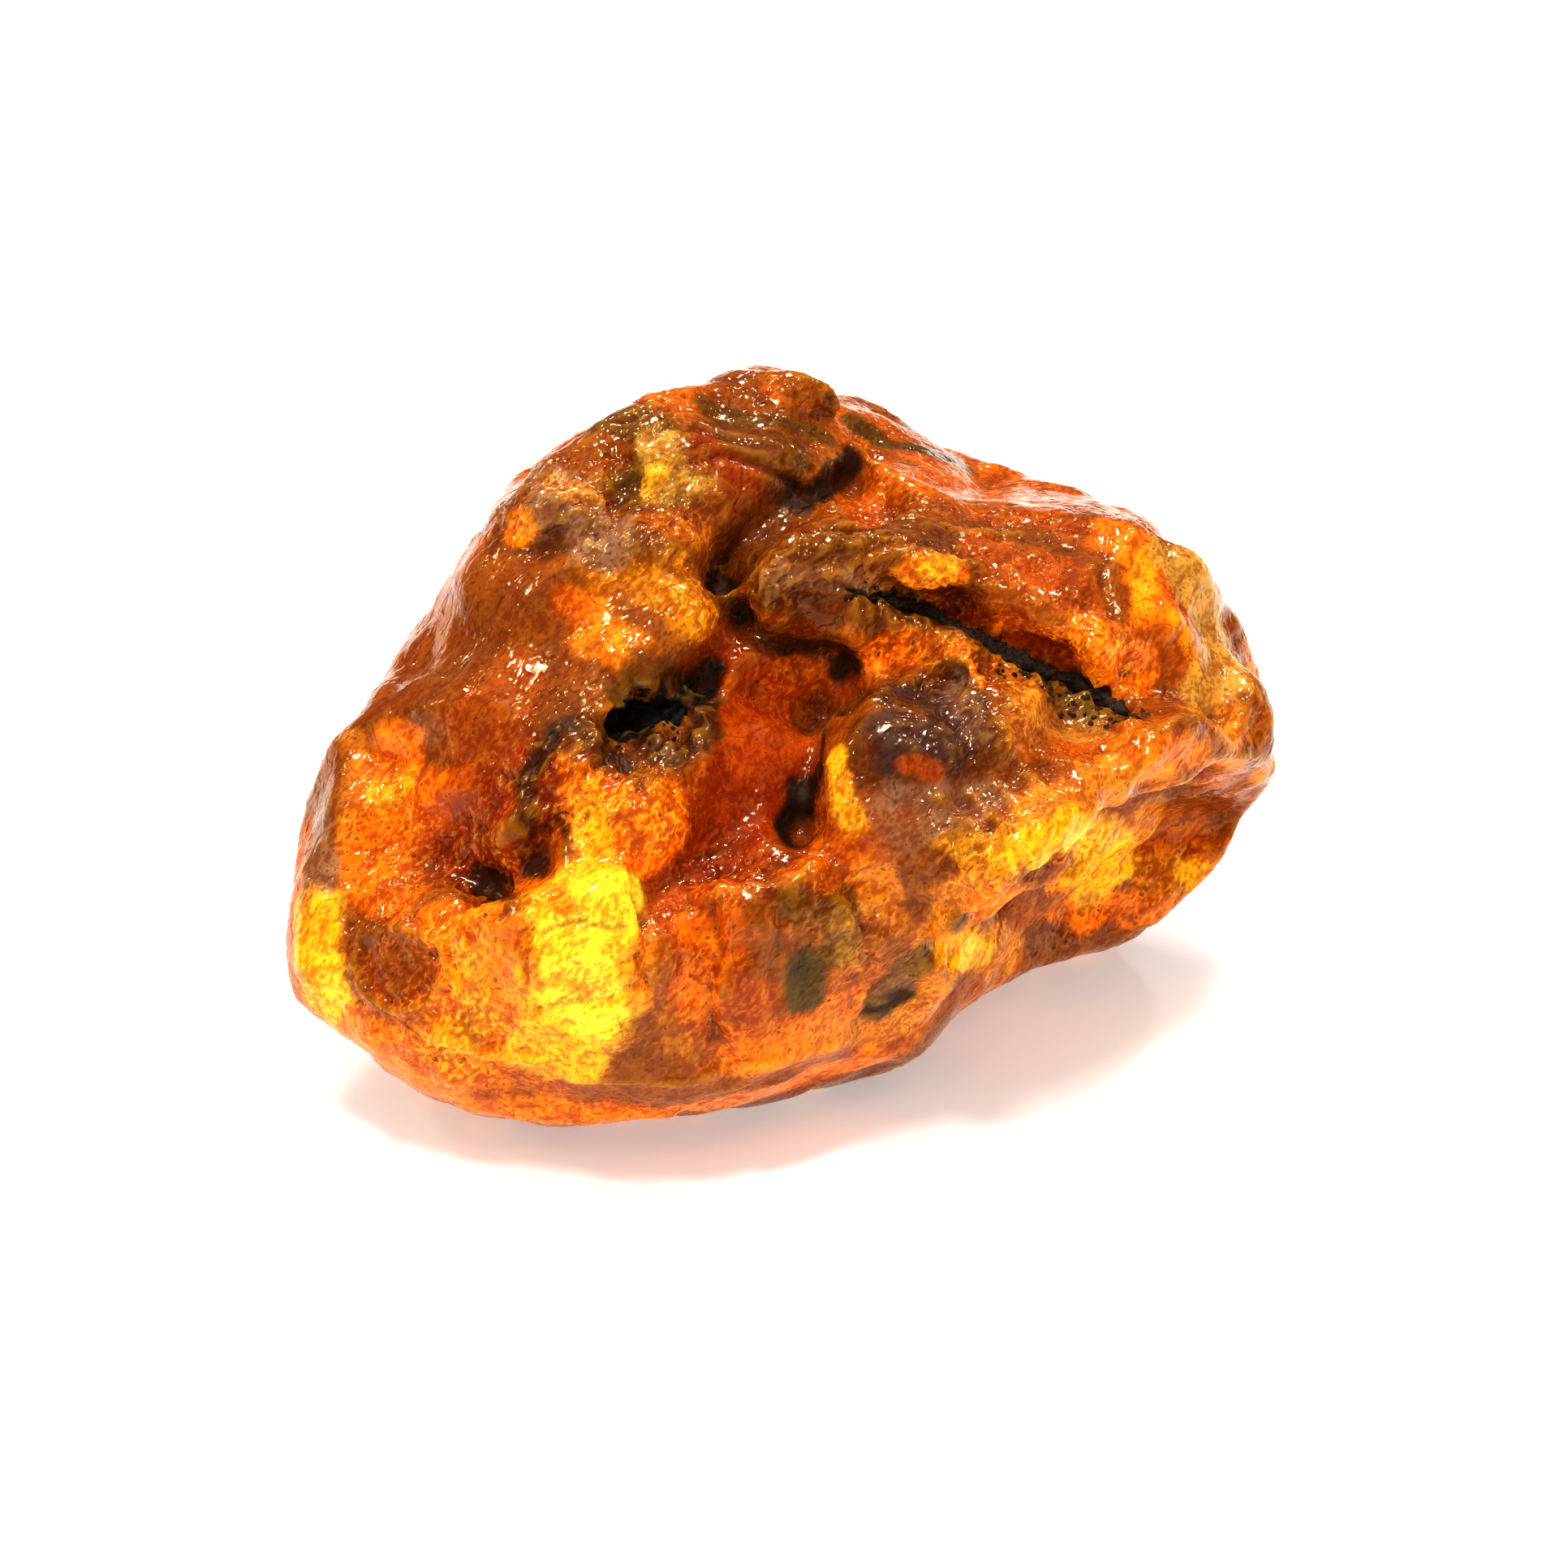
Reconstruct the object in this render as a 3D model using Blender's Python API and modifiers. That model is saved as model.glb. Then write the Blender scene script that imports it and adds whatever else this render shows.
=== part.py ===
# A raw amber piece: one weathered lump of fossil resin, with a strip of bark left in
# its long crack and a plug of earth in its deep pit. Metres, +Z up, resting on z = 0.
#
# The lump is modelled as it is seen from its best side. Features are laid out on a
# face sheet: a plane through the middle of the lump that faces a viewer who stands in
# front of it (-Y) and looks a little down. On the sheet a runs right and b runs up,
# in millimetres from the middle. Every stroke raises or carves the skin along its
# normal, under a path drawn on such a sheet.

import math

import bmesh
import bpy
import numpy as np
from mathutils import Matrix, Vector, noise
from mathutils.bvhtree import BVHTree

MM = 0.001

# Driving dimensions, in millimetres
FRONT_BULGE = 17.0          # how far the front skin swells before the sheet
BACK_BULGE = 19.0           # how far the back skin swells behind it
LEAN_RIGHT = -0.15          # the outline recedes this much for each mm to the right
LEAN_UP = -0.25             # and this much for each mm up
SIGHT_DISTANCE = 402.5      # from the viewer's eye to the middle of the lump
SIGHT_ELEVATION = 30.0      # degrees above the horizon
FLOOR_DROP = 15.4           # the resting face lies this far under the middle
FIT_GAP = 0.45              # left between the lump and what sits in it

# Mesh sizes
FORM_VOXEL = 0.75           # for the broad forms
SKIN_VOXEL = 0.5            # for the ledges, cracks and pits
SEAT_VOXEL = 0.5            # for the seats of the bark and the earth
LUMP_FACES = 6800           # what the finished lump is thinned to
RIM_STEPS = 150             # where the silhouette is measured, round the outline

# The lump's outline on the front sheet, anticlockwise from its right end
OUTLINE = [
    (30.6, 1.8), (29.9, 5.8), (28.2, 9.8), (26.2, 13.5), (23.2, 16.3), (18.7, 18.2),
    (13.7, 19.5), (9.2, 21.3), (4.7, 23.9), (2.7, 25.1), (-0.5, 26.1), (-3.6, 25.6),
    (-5.3, 24.8), (-8.3, 24.1), (-11.3, 22.6), (-14.3, 20.8), (-17.3, 18.3),
    (-19.5, 14.8), (-21.8, 10.8), (-24.8, 6.9), (-27.5, 3.5), (-29.3, 0.2),
    (-30.3, -4.7), (-31.1, -10.2), (-30.8, -12.6), (-28.9, -14.5), (-26.3, -16.5),
    (-23.3, -19.0), (-19.8, -20.3), (-16.3, -21.0), (-9.3, -20.8), (-3.3, -20.2),
    (1.7, -19.0), (7.2, -17.5), (9.0, -16.4), (10.7, -14.2), (13.5, -12.4),
    (16.7, -11.2), (20.2, -10.6), (23.2, -8.5), (25.2, -7.1), (27.7, -4.3),
    (28.7, -1.9), (30.3, -0.4),
]
OUTLINE_MIDDLE = (0.0, 1.0)


def stroke(path, rise, left, right, fade=0.0, power=2.0):
    """What every stroke is made of. A low power gives a sharp crest, a high one steep walls."""
    return {"path": path, "rise": rise, "left": left, "right": right, "fade": fade,
            "power": power}


def spot(a, b, rise, radius):
    """A round rise, or a hollow where rise is negative."""
    return stroke([(a, b)], rise, radius, radius)


def plateau(a, b, rise, radius):
    """A round rise with a flat top."""
    return stroke([(a, b)], rise, radius, radius, power=3.6)


def furrow(path, rise, radius):
    """A rounded ridge along a path, or a furrow where rise is negative."""
    return stroke(path, rise, radius, radius)


def crest(path, rise, left, right):
    """A sharp ridge, or a crack where rise is negative, that runs out at both ends."""
    return stroke(path, rise, left, right, fade=0.15, power=1.2)


def hole(path, rise, radius):
    """A pit with steep walls and a flat bottom."""
    return stroke(path, rise, radius, radius, power=4.0)


def ledge(path, rise, left, right):
    """A step: it falls off over one width left of the path and another right of it."""
    return stroke(path, rise, left, right, fade=0.18)


# Where the crack with the bark runs on the front sheet
CRACK = [(4.6, 11.8), (6.6, 11.4), (8.9, 10.6), (11.7, 8.9), (15.2, 7.2), (18.7, 5.9),
         (21.3, 4.4)]
PIT = (-8.1, 3.8)

# Where the lump broke along nearly flat faces: each face looks at a viewer at that azimuth
# and elevation in degrees, and takes this many mm off the body's furthest point
FLATS = [
    (15.0, 64.0, 2.4), (-52.0, 34.0, 3.2), (38.0, -22.0, 4.6), (-4.0, -4.0, 2.2),
    (-40.0, -22.0, 1.6), (92.0, 12.0, 2.0), (-100.0, 4.0, 2.4), (150.0, 24.0, 4.2),
    (208.0, 18.0, 4.4), (182.0, -30.0, 3.6), (130.0, 58.0, 2.4), (236.0, 50.0, 3.4),
    (124.0, -28.0, 3.0), (248.0, -26.0, 2.8),
]
FLAT_SOFTNESS = 0.9         # how far the edges of these faces are worn round, in mm

FRONT_FORMS = [
    spot(-7.5, 17.0, 2.6, 8.0),                                     # upper left head
    spot(-16.0, 9.0, 1.4, 8.0),                                     # left shoulder
    furrow([(2.5, 6.5), (-1.0, 0.5), (-4.5, -5.0)], -3.6, 4.2),     # red valley
    furrow([(2.0, 14.5), (12.0, 14.5), (22.0, 12.0)], 2.2, 5.0),    # right slab
    furrow([(-0.5, 12.6), (4.0, 14.4), (8.0, 14.8)], 1.9, 2.6),     # its left end
    plateau(9.4, 0.6, 2.8, 6.4),                                    # middle right boss
    furrow([(14.5, -8.5), (20.0, -5.5), (25.0, -4.0)], -4.2, 4.6),  # undercut on the right
    furrow([(27.0, 4.5), (19.5, 0.2), (11.5, -6.0), (7.5, -14.0)], 2.6, 3.0),
    spot(-21.0, -12.5, 1.6, 7.0),                                   # lower left foot
    spot(-19.6, -4.6, -3.0, 3.8),                                   # left hollow
    furrow([(4.6, 19.4), (2.0, 17.4), (-2.6, 14.2)], -2.7, 2.7),    # cleft behind the head
    furrow([(-8.0, -12.0), (3.0, -11.0)], 2.4, 6.5),                # brown front face
    spot(-27.0, -1.0, 0.9, 5.0),
    spot(27.5, 3.0, 1.0, 5.0),                                      # right end
]

FRONT_FEATURES = [
    # The deep pit, and the creases that run from it
    hole([(-8.9, 3.5), (-7.4, 4.1)], -5.2, 2.1),
    furrow([(-9.8, 2.2), (-12.6, -0.4), (-15.0, -3.2), (-15.8, -5.6)], -2.0, 1.15),
    furrow([(-9.4, 1.6), (-11.2, -1.8), (-12.0, -4.4)], -1.7, 0.8),
    spot(-12.6, 0.6, 1.5, 1.7),
    spot(-8.7, -2.2, 2.2, 2.9),
    furrow([(-6.2, 5.0), (-4.6, 6.6), (-3.5, 8.5), (-2.8, 10.6)], -1.5, 1.1),
    spot(-5.6, 5.4, 1.3, 0.9),
    spot(-4.7, 6.5, -1.6, 0.9),
    # The head: its cleft, the back lobe and the knobs on it
    furrow([(4.6, 19.2), (3.4, 18.2), (1.2, 17.2), (-1.8, 15.6), (-3.6, 13.8)], -2.0, 1.1),
    furrow([(-3.6, 13.8), (-3.9, 12.0), (-2.7, 10.6)], -1.6, 0.8),
    spot(1.0, 17.6, -1.6, 1.5),
    ledge([(-5.8, 24.2), (-3.0, 24.4), (0.5, 23.3), (4.2, 22.4), (7.7, 21.0)], -1.1, 0.7, 2.0),
    ledge([(4.6, 17.8), (0.8, 16.2), (-1.6, 14.2), (-3.2, 12.4)], 0.8, 3.8, 0.6),
    furrow([(-10.2, 20.4), (-9.8, 18.6), (-12.0, 16.6), (-15.2, 14.6)], -1.2, 0.9),
    spot(-12.6, 16.2, 0.9, 1.3),
    spot(-7.2, 20.0, 1.1, 2.4),
    spot(-8.0, 17.8, -0.9, 1.0),
    spot(-15.4, 17.2, 0.8, 1.8),
    spot(-16.4, 15.0, -0.8, 1.1),
    ledge([(-10.8, 15.0), (-7.4, 14.0), (-4.8, 15.2)], 1.1, 2.6, 0.8),
    # The slab, the lip over the crack and the recess under it
    ledge([(5.6, 13.4), (8.4, 12.7), (11.6, 11.8), (14.8, 10.6), (18.2, 8.9), (22.0, 6.6)],
          1.5, 3.4, 0.6),
    ledge([(5.0, 12.2), (9.0, 11.4), (11.9, 9.9), (15.4, 8.3), (18.8, 6.8), (21.8, 5.2)],
          -2.3, 1.5, 0.5),
    ledge([(1.5, 12.2), (5.0, 11.2), (8.6, 10.0), (11.5, 8.1), (15.0, 6.4), (18.4, 5.0)],
          1.2, 0.5, 2.4),
    furrow([(-2.8, 10.6), (-0.4, 8.9), (3.8, 8.4)], -1.5, 0.75),
    ledge([(-3.0, 11.8), (-0.2, 9.8), (3.4, 9.3), (6.4, 9.6)], 1.1, 2.4, 0.6),
    spot(9.3, 13.1, 0.9, 1.5),
    spot(20.6, 8.4, 1.2, 1.7),
    spot(13.4, 11.2, 0.7, 1.3),
    spot(16.8, 14.2, -0.8, 1.9),
    furrow([(6.8, 17.4), (13.0, 16.8), (19.5, 15.2)], -0.9, 1.0),
    # The boss, and the long dark crease on its left
    ledge([(3.9, 8.6), (3.4, 5.0), (2.4, 1.8), (1.2, -1.8), (-0.2, -4.4)], -3.0, 1.0, 1.3),
    ledge([(4.6, 6.6), (4.2, 3.6), (3.4, 0.4), (2.2, -3.0)], 1.2, 2.6, 0.5),
    spot(2.9, 4.4, -1.3, 1.0),
    spot(1.0, -2.6, -1.5, 1.0),
    plateau(7.6, 3.4, 1.0, 3.0),
    ledge([(4.4, 8.2), (8.0, 9.0), (11.6, 7.0), (15.0, 5.2)], -1.0, 0.5, 1.6),
    furrow([(6.6, 6.8), (10.4, 5.6), (12.0, 2.4), (10.8, -1.6)], -1.0, 0.8),
    spot(14.6, 3.6, 0.9, 2.0),
    furrow([(17.6, 4.4), (15.0, 1.6), (12.6, -1.0)], -0.9, 1.1),
    # The long ridge down the right, and what lies under it
    crest([(27.6, 4.8), (23.6, 3.2), (19.2, 0.4), (14.8, -3.0), (11.8, -5.4), (9.4, -9.0),
           (7.6, -15.0)], 3.2, 1.9, 1.0),
    furrow([(24.6, 0.6), (20.0, -2.6), (15.4, -6.0), (12.6, -8.6)], -1.2, 1.3),
    spot(18.2, -5.6, -1.1, 2.0),
    hole([(24.7, -6.1), (25.6, -4.6)], -2.2, 1.2),
    furrow([(30.0, -0.6), (28.2, -2.3), (24.0, -2.6), (21.4, -4.2)], -1.3, 1.1),
    ledge([(26.7, 13.6), (28.0, 10.2), (28.3, 6.0), (27.8, 3.2)], -1.3, 0.8, 1.6),
    furrow([(22.6, 1.2), (25.4, -0.4), (28.6, 0.4)], 0.8, 1.0),
    # The left hollow, the lip below it and the window on the lip
    spot(-18.1, -6.5, -1.9, 1.4),
    spot(-21.4, -4.0, -1.0, 1.8),
    ledge([(-22.6, -6.4), (-18.2, -8.4), (-13.4, -7.3), (-8.2, -5.6)], 1.6, 0.6, 3.2),
    furrow([(-15.6, -1.6), (-17.0, -3.4)], 0.8, 0.8),
    spot(-12.6, -11.0, 0.7, 3.0),
    ledge([(-15.4, -9.0), (-16.2, -12.0), (-15.4, -15.6)], 0.8, 2.4, 0.7),
    ledge([(-7.4, -7.4), (-6.4, -10.6), (-9.6, -13.4), (-10.2, -17.0)], 0.9, 0.6, 2.4),
    spot(-23.2, -11.2, -1.1, 2.2),
    spot(-25.6, -16.0, 0.6, 1.6),
    furrow([(-25.2, 2.2), (-24.4, -1.4), (-26.0, -6.4), (-26.2, -12.4)], -0.9, 1.0),
    furrow([(-27.6, 1.4), (-28.6, -5.6), (-28.8, -11.4)], 0.9, 1.1),
    furrow([(-17.2, 13.4), (-20.6, 6.6), (-23.8, 2.6)], -0.7, 1.6),
    furrow([(-13.0, 10.4), (-15.8, 5.4), (-19.0, 1.0)], -0.7, 1.4),
    spot(-11.4, 8.4, 0.7, 2.0),
    # The brown front face
    ledge([(-6.0, -6.2), (-2.6, -7.6), (0.4, -6.4), (2.8, -4.6)], 1.5, 0.6, 2.6),
    spot(1.8, -11.8, -0.9, 1.7),
    spot(2.4, -7.2, -1.0, 1.0),
    spot(6.3, -13.0, -1.2, 1.6),
    spot(10.5, -10.0, -1.5, 1.1),
    furrow([(-4.8, -8.6), (-5.4, -13.4), (-3.6, -17.4)], -0.8, 1.0),
    furrow([(4.2, -8.8), (3.8, -12.2), (4.8, -16.0)], -0.7, 0.8),
    ledge([(-12.4, -18.9), (-6.0, -18.8), (0.4, -17.6), (5.0, -15.8)], 0.9, 1.6, 0.6),
]

# The back, laid out on a sheet that faces a viewer at the back, a to that viewer's right
BACK_FORMS = [
    spot(-14.0, 6.0, 2.4, 8.0),
    spot(12.0, 9.0, 2.0, 7.0),
    furrow([(-4.0, 18.0), (0.0, 6.0), (-3.0, -6.0)], -2.8, 3.6),
    spot(10.0, -6.0, 2.2, 7.0),
    spot(-18.0, -7.0, -2.0, 5.0),
    furrow([(18.0, 8.0), (24.0, -2.0)], -2.0, 3.4),
]

BACK_FEATURES = [
    ledge([(-20.0, 12.0), (-10.0, 9.0), (-2.0, 12.0), (8.0, 10.0), (17.0, 4.0)], 1.5, 0.7, 3.0),
    ledge([(-6.0, 2.0), (2.0, -3.0), (12.0, -2.0), (20.0, -7.0)], -1.8, 0.8, 2.4),
    furrow([(-16.0, 2.0), (-13.0, -4.0), (-15.0, -10.0)], -1.4, 1.2),
    furrow([(4.0, 17.0), (6.0, 9.0), (3.0, 3.0)], -1.3, 1.1),
    spot(-9.0, 4.0, -1.6, 2.0),
    spot(15.0, 0.0, 1.2, 2.4),
    spot(7.0, -9.0, -1.4, 1.8),
    spot(-3.0, -10.0, 1.2, 2.8),
    spot(-20.0, 4.0, 1.0, 2.2),
    spot(22.0, 2.0, -1.2, 1.6),
    spot(9.0, 6.0, -0.9, 1.3),
    furrow([(-24.0, -2.0), (-18.0, -6.0), (-10.0, -8.0)], 1.0, 1.3),
]

# The left and right ends, each on its own sheet
LEFT_FEATURES = [
    furrow([(-12.0, 8.0), (-4.0, 2.0), (2.0, -6.0)], -1.5, 1.8),
    ledge([(10.0, 9.0), (6.0, 0.0), (8.0, -8.0)], 1.3, 0.8, 2.8),
    spot(-5.0, -5.0, 1.2, 2.6),
    spot(3.0, 7.0, -1.1, 1.8),
]
RIGHT_FEATURES = [
    furrow([(-8.0, 12.0), (-3.0, 3.0), (-6.0, -6.0)], -1.5, 1.5),
    ledge([(4.0, 12.0), (9.0, 4.0), (6.0, -5.0)], 1.4, 0.8, 2.6),
    spot(2.0, -2.0, -1.3, 2.0),
    spot(0.0, 8.0, 1.0, 2.4),
]

# Weathering over the whole skin: (size of the bumps, how far they swell, creased or not), in mm
WEATHERING = [(9.0, 0.9, False), (4.6, 0.95, True), (2.3, 0.4, True)]
FACING = (0.1, 0.6)         # a stroke fades out on skin turned further from its viewer than this
CREASE_MEAN = 0.22          # the mean of creased noise, taken off so that the lump keeps its size


def clear_scene():
    for obj in list(bpy.data.objects):
        bpy.data.objects.remove(obj)


def material(name, colour, roughness, transmission=0.0):
    made = bpy.data.materials.new(name)
    made.use_nodes = True
    shader = made.node_tree.nodes["Principled BSDF"]
    shader.inputs["Base Color"].default_value = (*colour, 1.0)
    shader.inputs["Roughness"].default_value = roughness
    shader.inputs["Metallic"].default_value = 0.0
    shader.inputs["Transmission Weight"].default_value = transmission
    shader.inputs["IOR"].default_value = 1.54
    return made


def sheet_axes(azimuth, elevation):
    """Right, up and towards the viewer, for a viewer at that azimuth and elevation in degrees."""
    turn, rise = math.radians(azimuth), math.radians(elevation)
    toward = np.array([math.sin(turn) * math.cos(rise), -math.cos(turn) * math.cos(rise),
                       math.sin(rise)])
    right = np.array([math.cos(turn), math.sin(turn), 0.0])
    return np.array([right, np.cross(toward, right), toward])


def smooth_step(low, high, value):
    share = np.clip((value - low) / (high - low), 0.0, 1.0)
    return share * share * (3.0 - 2.0 * share)


def points_of(mesh):
    """The vertices, in millimetres."""
    flat = np.empty(len(mesh.vertices) * 3)
    mesh.vertices.foreach_get("co", flat)
    return flat.reshape(-1, 3) / MM


def set_points(mesh, points):
    mesh.vertices.foreach_set("co", (points * MM).ravel())
    mesh.update()


def normals_of(mesh):
    flat = np.empty(len(mesh.vertices) * 3)
    mesh.vertices.foreach_get("normal", flat)
    return flat.reshape(-1, 3)


def outline_reach(angles):
    """The outline's distance from its middle at these angles."""
    rim = np.array(OUTLINE) - np.array(OUTLINE_MIDDLE)
    rim_angles = np.arctan2(rim[:, 1], rim[:, 0])
    order = np.argsort(rim_angles)
    return np.interp(angles, rim_angles[order], np.hypot(rim[:, 0], rim[:, 1])[order],
                     period=2.0 * math.pi)


def swollen_outline(mesh):
    """Turns a unit sphere into a body with the outline as its rim, swollen to the front and back."""
    ball = points_of(mesh) * MM
    angles = np.arctan2(ball[:, 1], ball[:, 0])
    reach = outline_reach(angles)
    a = OUTLINE_MIDDLE[0] + ball[:, 0] * reach
    b = OUTLINE_MIDDLE[1] + ball[:, 1] * reach
    bulge = np.where(ball[:, 2] > 0, FRONT_BULGE, BACK_BULGE)
    c = ball[:, 2] * bulge + LEAN_RIGHT * a + LEAN_UP * b
    nearer = 1.0 - c / SIGHT_DISTANCE
    sheet = np.column_stack([a * nearer, b * nearer, c])
    set_points(mesh, sheet @ sheet_axes(0.0, SIGHT_ELEVATION))


def break_flat(mesh, azimuth, elevation, depth):
    """Pushes back what lies past a nearly flat face, and rounds the face's edge."""
    face = sheet_axes(azimuth, elevation)[2]
    points = points_of(mesh)
    height = points @ face
    over = (height - (height.max() - depth)) / FLAT_SOFTNESS
    kept = -np.logaddexp(0.0, -over) * FLAT_SOFTNESS
    set_points(mesh, points + (kept - over * FLAT_SOFTNESS)[:, None] * face)


def fit_outline(mesh):
    """Stretches the lump on the front sheet until its silhouette is the outline."""
    axes = sheet_axes(0.0, SIGHT_ELEVATION)
    local = points_of(mesh) @ axes.T
    nearer = SIGHT_DISTANCE / (SIGHT_DISTANCE - local[:, 2])
    seen = local[:, :2] * nearer[:, None] - np.array(OUTLINE_MIDDLE)
    angles = np.arctan2(seen[:, 1], seen[:, 0])
    reach = np.hypot(seen[:, 0], seen[:, 1])
    step = 2.0 * math.pi / RIM_STEPS
    bins = np.floor((angles + math.pi) / step).astype(int) % RIM_STEPS
    rim = np.zeros(RIM_STEPS)
    np.maximum.at(rim, bins, reach)
    middles = (np.arange(RIM_STEPS) + 0.5) * step - math.pi
    stretch = outline_reach(middles) / rim
    stretch = (np.roll(stretch, 1) + 2.0 * stretch + np.roll(stretch, -1)) / 4.0
    factor = np.interp(angles, middles, stretch, period=2.0 * math.pi)
    fitted = seen * factor[:, None] + np.array(OUTLINE_MIDDLE)
    local[:, :2] = fitted / nearer[:, None]
    set_points(mesh, local @ axes)


def path_distance(points, path):
    """Each point's distance to the path, its side (+1 left, -1 right) and its share along it."""
    path = np.array(path, float)
    if len(path) == 1:
        gap = np.linalg.norm(points - path[0], axis=1)
        return gap, np.ones(len(points)), np.full(len(points), 0.5)
    best = np.full(len(points), np.inf)
    side, share = np.ones(len(points)), np.zeros(len(points))
    runs = np.linalg.norm(np.diff(path, axis=0), axis=1)
    before = np.concatenate([[0.0], np.cumsum(runs)])
    for i, run in enumerate(runs):
        step = (path[i + 1] - path[i]) / run
        offset = points - path[i]
        along = np.clip(offset @ step, 0.0, run)
        gap = np.linalg.norm(offset - along[:, None] * step, axis=1)
        nearer = gap < best
        best = np.where(nearer, gap, best)
        turned = step[0] * offset[:, 1] - step[1] * offset[:, 0]
        side = np.where(nearer, np.where(turned >= 0, 1.0, -1.0), side)
        share = np.where(nearer, (before[i] + along) / before[-1], share)
    return best, side, share


def sculpt(mesh, strokes, azimuth, elevation):
    """Raises and carves the skin that faces this viewer, under each stroke's path."""
    axes = sheet_axes(azimuth, elevation)
    for stroke in strokes:
        points, normals = points_of(mesh), normals_of(mesh)
        local = points @ axes.T
        nearer = SIGHT_DISTANCE / (SIGHT_DISTANCE - local[:, 2])
        gap, side, share = path_distance(local[:, :2] * nearer[:, None], stroke["path"])
        width = np.where(side > 0, stroke["left"], stroke["right"])
        amount = stroke["rise"] * np.exp(-((gap / width) ** stroke["power"]))
        if stroke["fade"]:
            amount *= smooth_step(0.0, stroke["fade"], np.minimum(share, 1.0 - share))
        amount *= smooth_step(*FACING, normals @ axes[2])
        set_points(mesh, points + normals * amount[:, None])


def weather(mesh):
    """Swells the skin into bumps of each size, some of them with sharp creases between."""
    for size, swell, creased in WEATHERING:
        points, normals = points_of(mesh), normals_of(mesh)
        shift = Vector((size * 3.1, -size * 1.7, size * 0.9))
        amount = np.array([noise.noise(Vector(p) / size + shift) for p in points])
        if creased:
            amount = np.abs(amount) - CREASE_MEAN
        set_points(mesh, points + normals * (amount * swell)[:, None])


def evaluated_mesh(obj):
    graph = bpy.context.evaluated_depsgraph_get()
    return bpy.data.meshes.new_from_object(obj.evaluated_get(graph))


def take_modifiers(obj):
    """Makes the evaluated mesh the object's own, and drops the modifiers."""
    made = evaluated_mesh(obj)
    obj.modifiers.clear()
    obj.data = made


def even_mesh(obj, voxel, smoothing):
    """Spreads the faces evenly over the surface, so that each detail finds enough of them."""
    remesh = obj.modifiers.new("even faces", "REMESH")
    remesh.mode = "VOXEL"
    remesh.voxel_size = voxel * MM
    smooth = obj.modifiers.new("soften", "SMOOTH")
    smooth.factor = 0.5
    smooth.iterations = smoothing
    take_modifiers(obj)


def cut_flat(obj, height):
    """Cuts the lump off level at this height, and closes the cut with one flat face."""
    shape = bmesh.new()
    shape.from_mesh(obj.data)
    cut = bmesh.ops.bisect_plane(
        shape, geom=shape.verts[:] + shape.edges[:] + shape.faces[:], dist=1e-7,
        plane_co=(0.0, 0.0, height), plane_no=(0.0, 0.0, 1.0), clear_inner=True)
    rim = [e for e in cut["geom_cut"] if isinstance(e, bmesh.types.BMEdge)]
    bmesh.ops.edgeloop_fill(shape, edges=rim)
    bmesh.ops.recalc_face_normals(shape, faces=shape.faces[:])
    bmesh.ops.triangulate(shape, faces=shape.faces[:])
    shape.to_mesh(obj.data)
    shape.free()


def make_lump(collection, finish):
    mesh = bpy.data.meshes.new("amber_lump")
    ball = bmesh.new()
    bmesh.ops.create_icosphere(ball, subdivisions=6, radius=1.0)
    ball.to_mesh(mesh)
    ball.free()
    lump = bpy.data.objects.new("amber_lump", mesh)
    collection.objects.link(lump)
    swollen_outline(lump.data)
    even_mesh(lump, FORM_VOXEL, 4)
    for azimuth, elevation, depth in FLATS:
        break_flat(lump.data, azimuth, elevation, depth)
    sculpt(lump.data, FRONT_FORMS, 0.0, SIGHT_ELEVATION)
    sculpt(lump.data, BACK_FORMS, 180.0, 10.0)
    fit_outline(lump.data)
    even_mesh(lump, SKIN_VOXEL, 2)
    weather(lump.data)
    sculpt(lump.data, FRONT_FEATURES, 0.0, SIGHT_ELEVATION)
    sculpt(lump.data, BACK_FEATURES, 180.0, 10.0)
    sculpt(lump.data, LEFT_FEATURES, -90.0, 10.0)
    sculpt(lump.data, RIGHT_FEATURES, 90.0, 10.0)
    fit_outline(lump.data)
    even_mesh(lump, SKIN_VOXEL, 1)
    thin = lump.modifiers.new("thin", "DECIMATE")
    thin.ratio = LUMP_FACES / sum(len(face.vertices) - 2 for face in lump.data.polygons)
    thin.use_collapse_triangulate = True
    take_modifiers(lump)
    cut_flat(lump, -FLOOR_DROP * MM)
    lump.data.materials.append(finish)
    return lump


def skin_point(tree, a, b):
    """Where the viewer's line of sight through (a, b) on the front sheet meets the skin."""
    axes = sheet_axes(0.0, SIGHT_ELEVATION)
    eye = axes[2] * SIGHT_DISTANCE
    target = axes[0] * a + axes[1] * b
    hit, normal, _, _ = tree.ray_cast(Vector(eye) * MM, Vector(target - eye).normalized())
    return hit, normal


def swell(mesh, distance):
    """The mesh moved out along its normals by this many millimetres."""
    set_points(mesh, points_of(mesh) + normals_of(mesh) * distance)


BARK_RADIUS = 0.62          # of the strip at its middle
BARK_SINK = 0.25            # its line lies this far under the skin
BARK_STEPS = 26             # points along its line
BARK_KNOTS = 0.16           # how far its knots stand out


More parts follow.
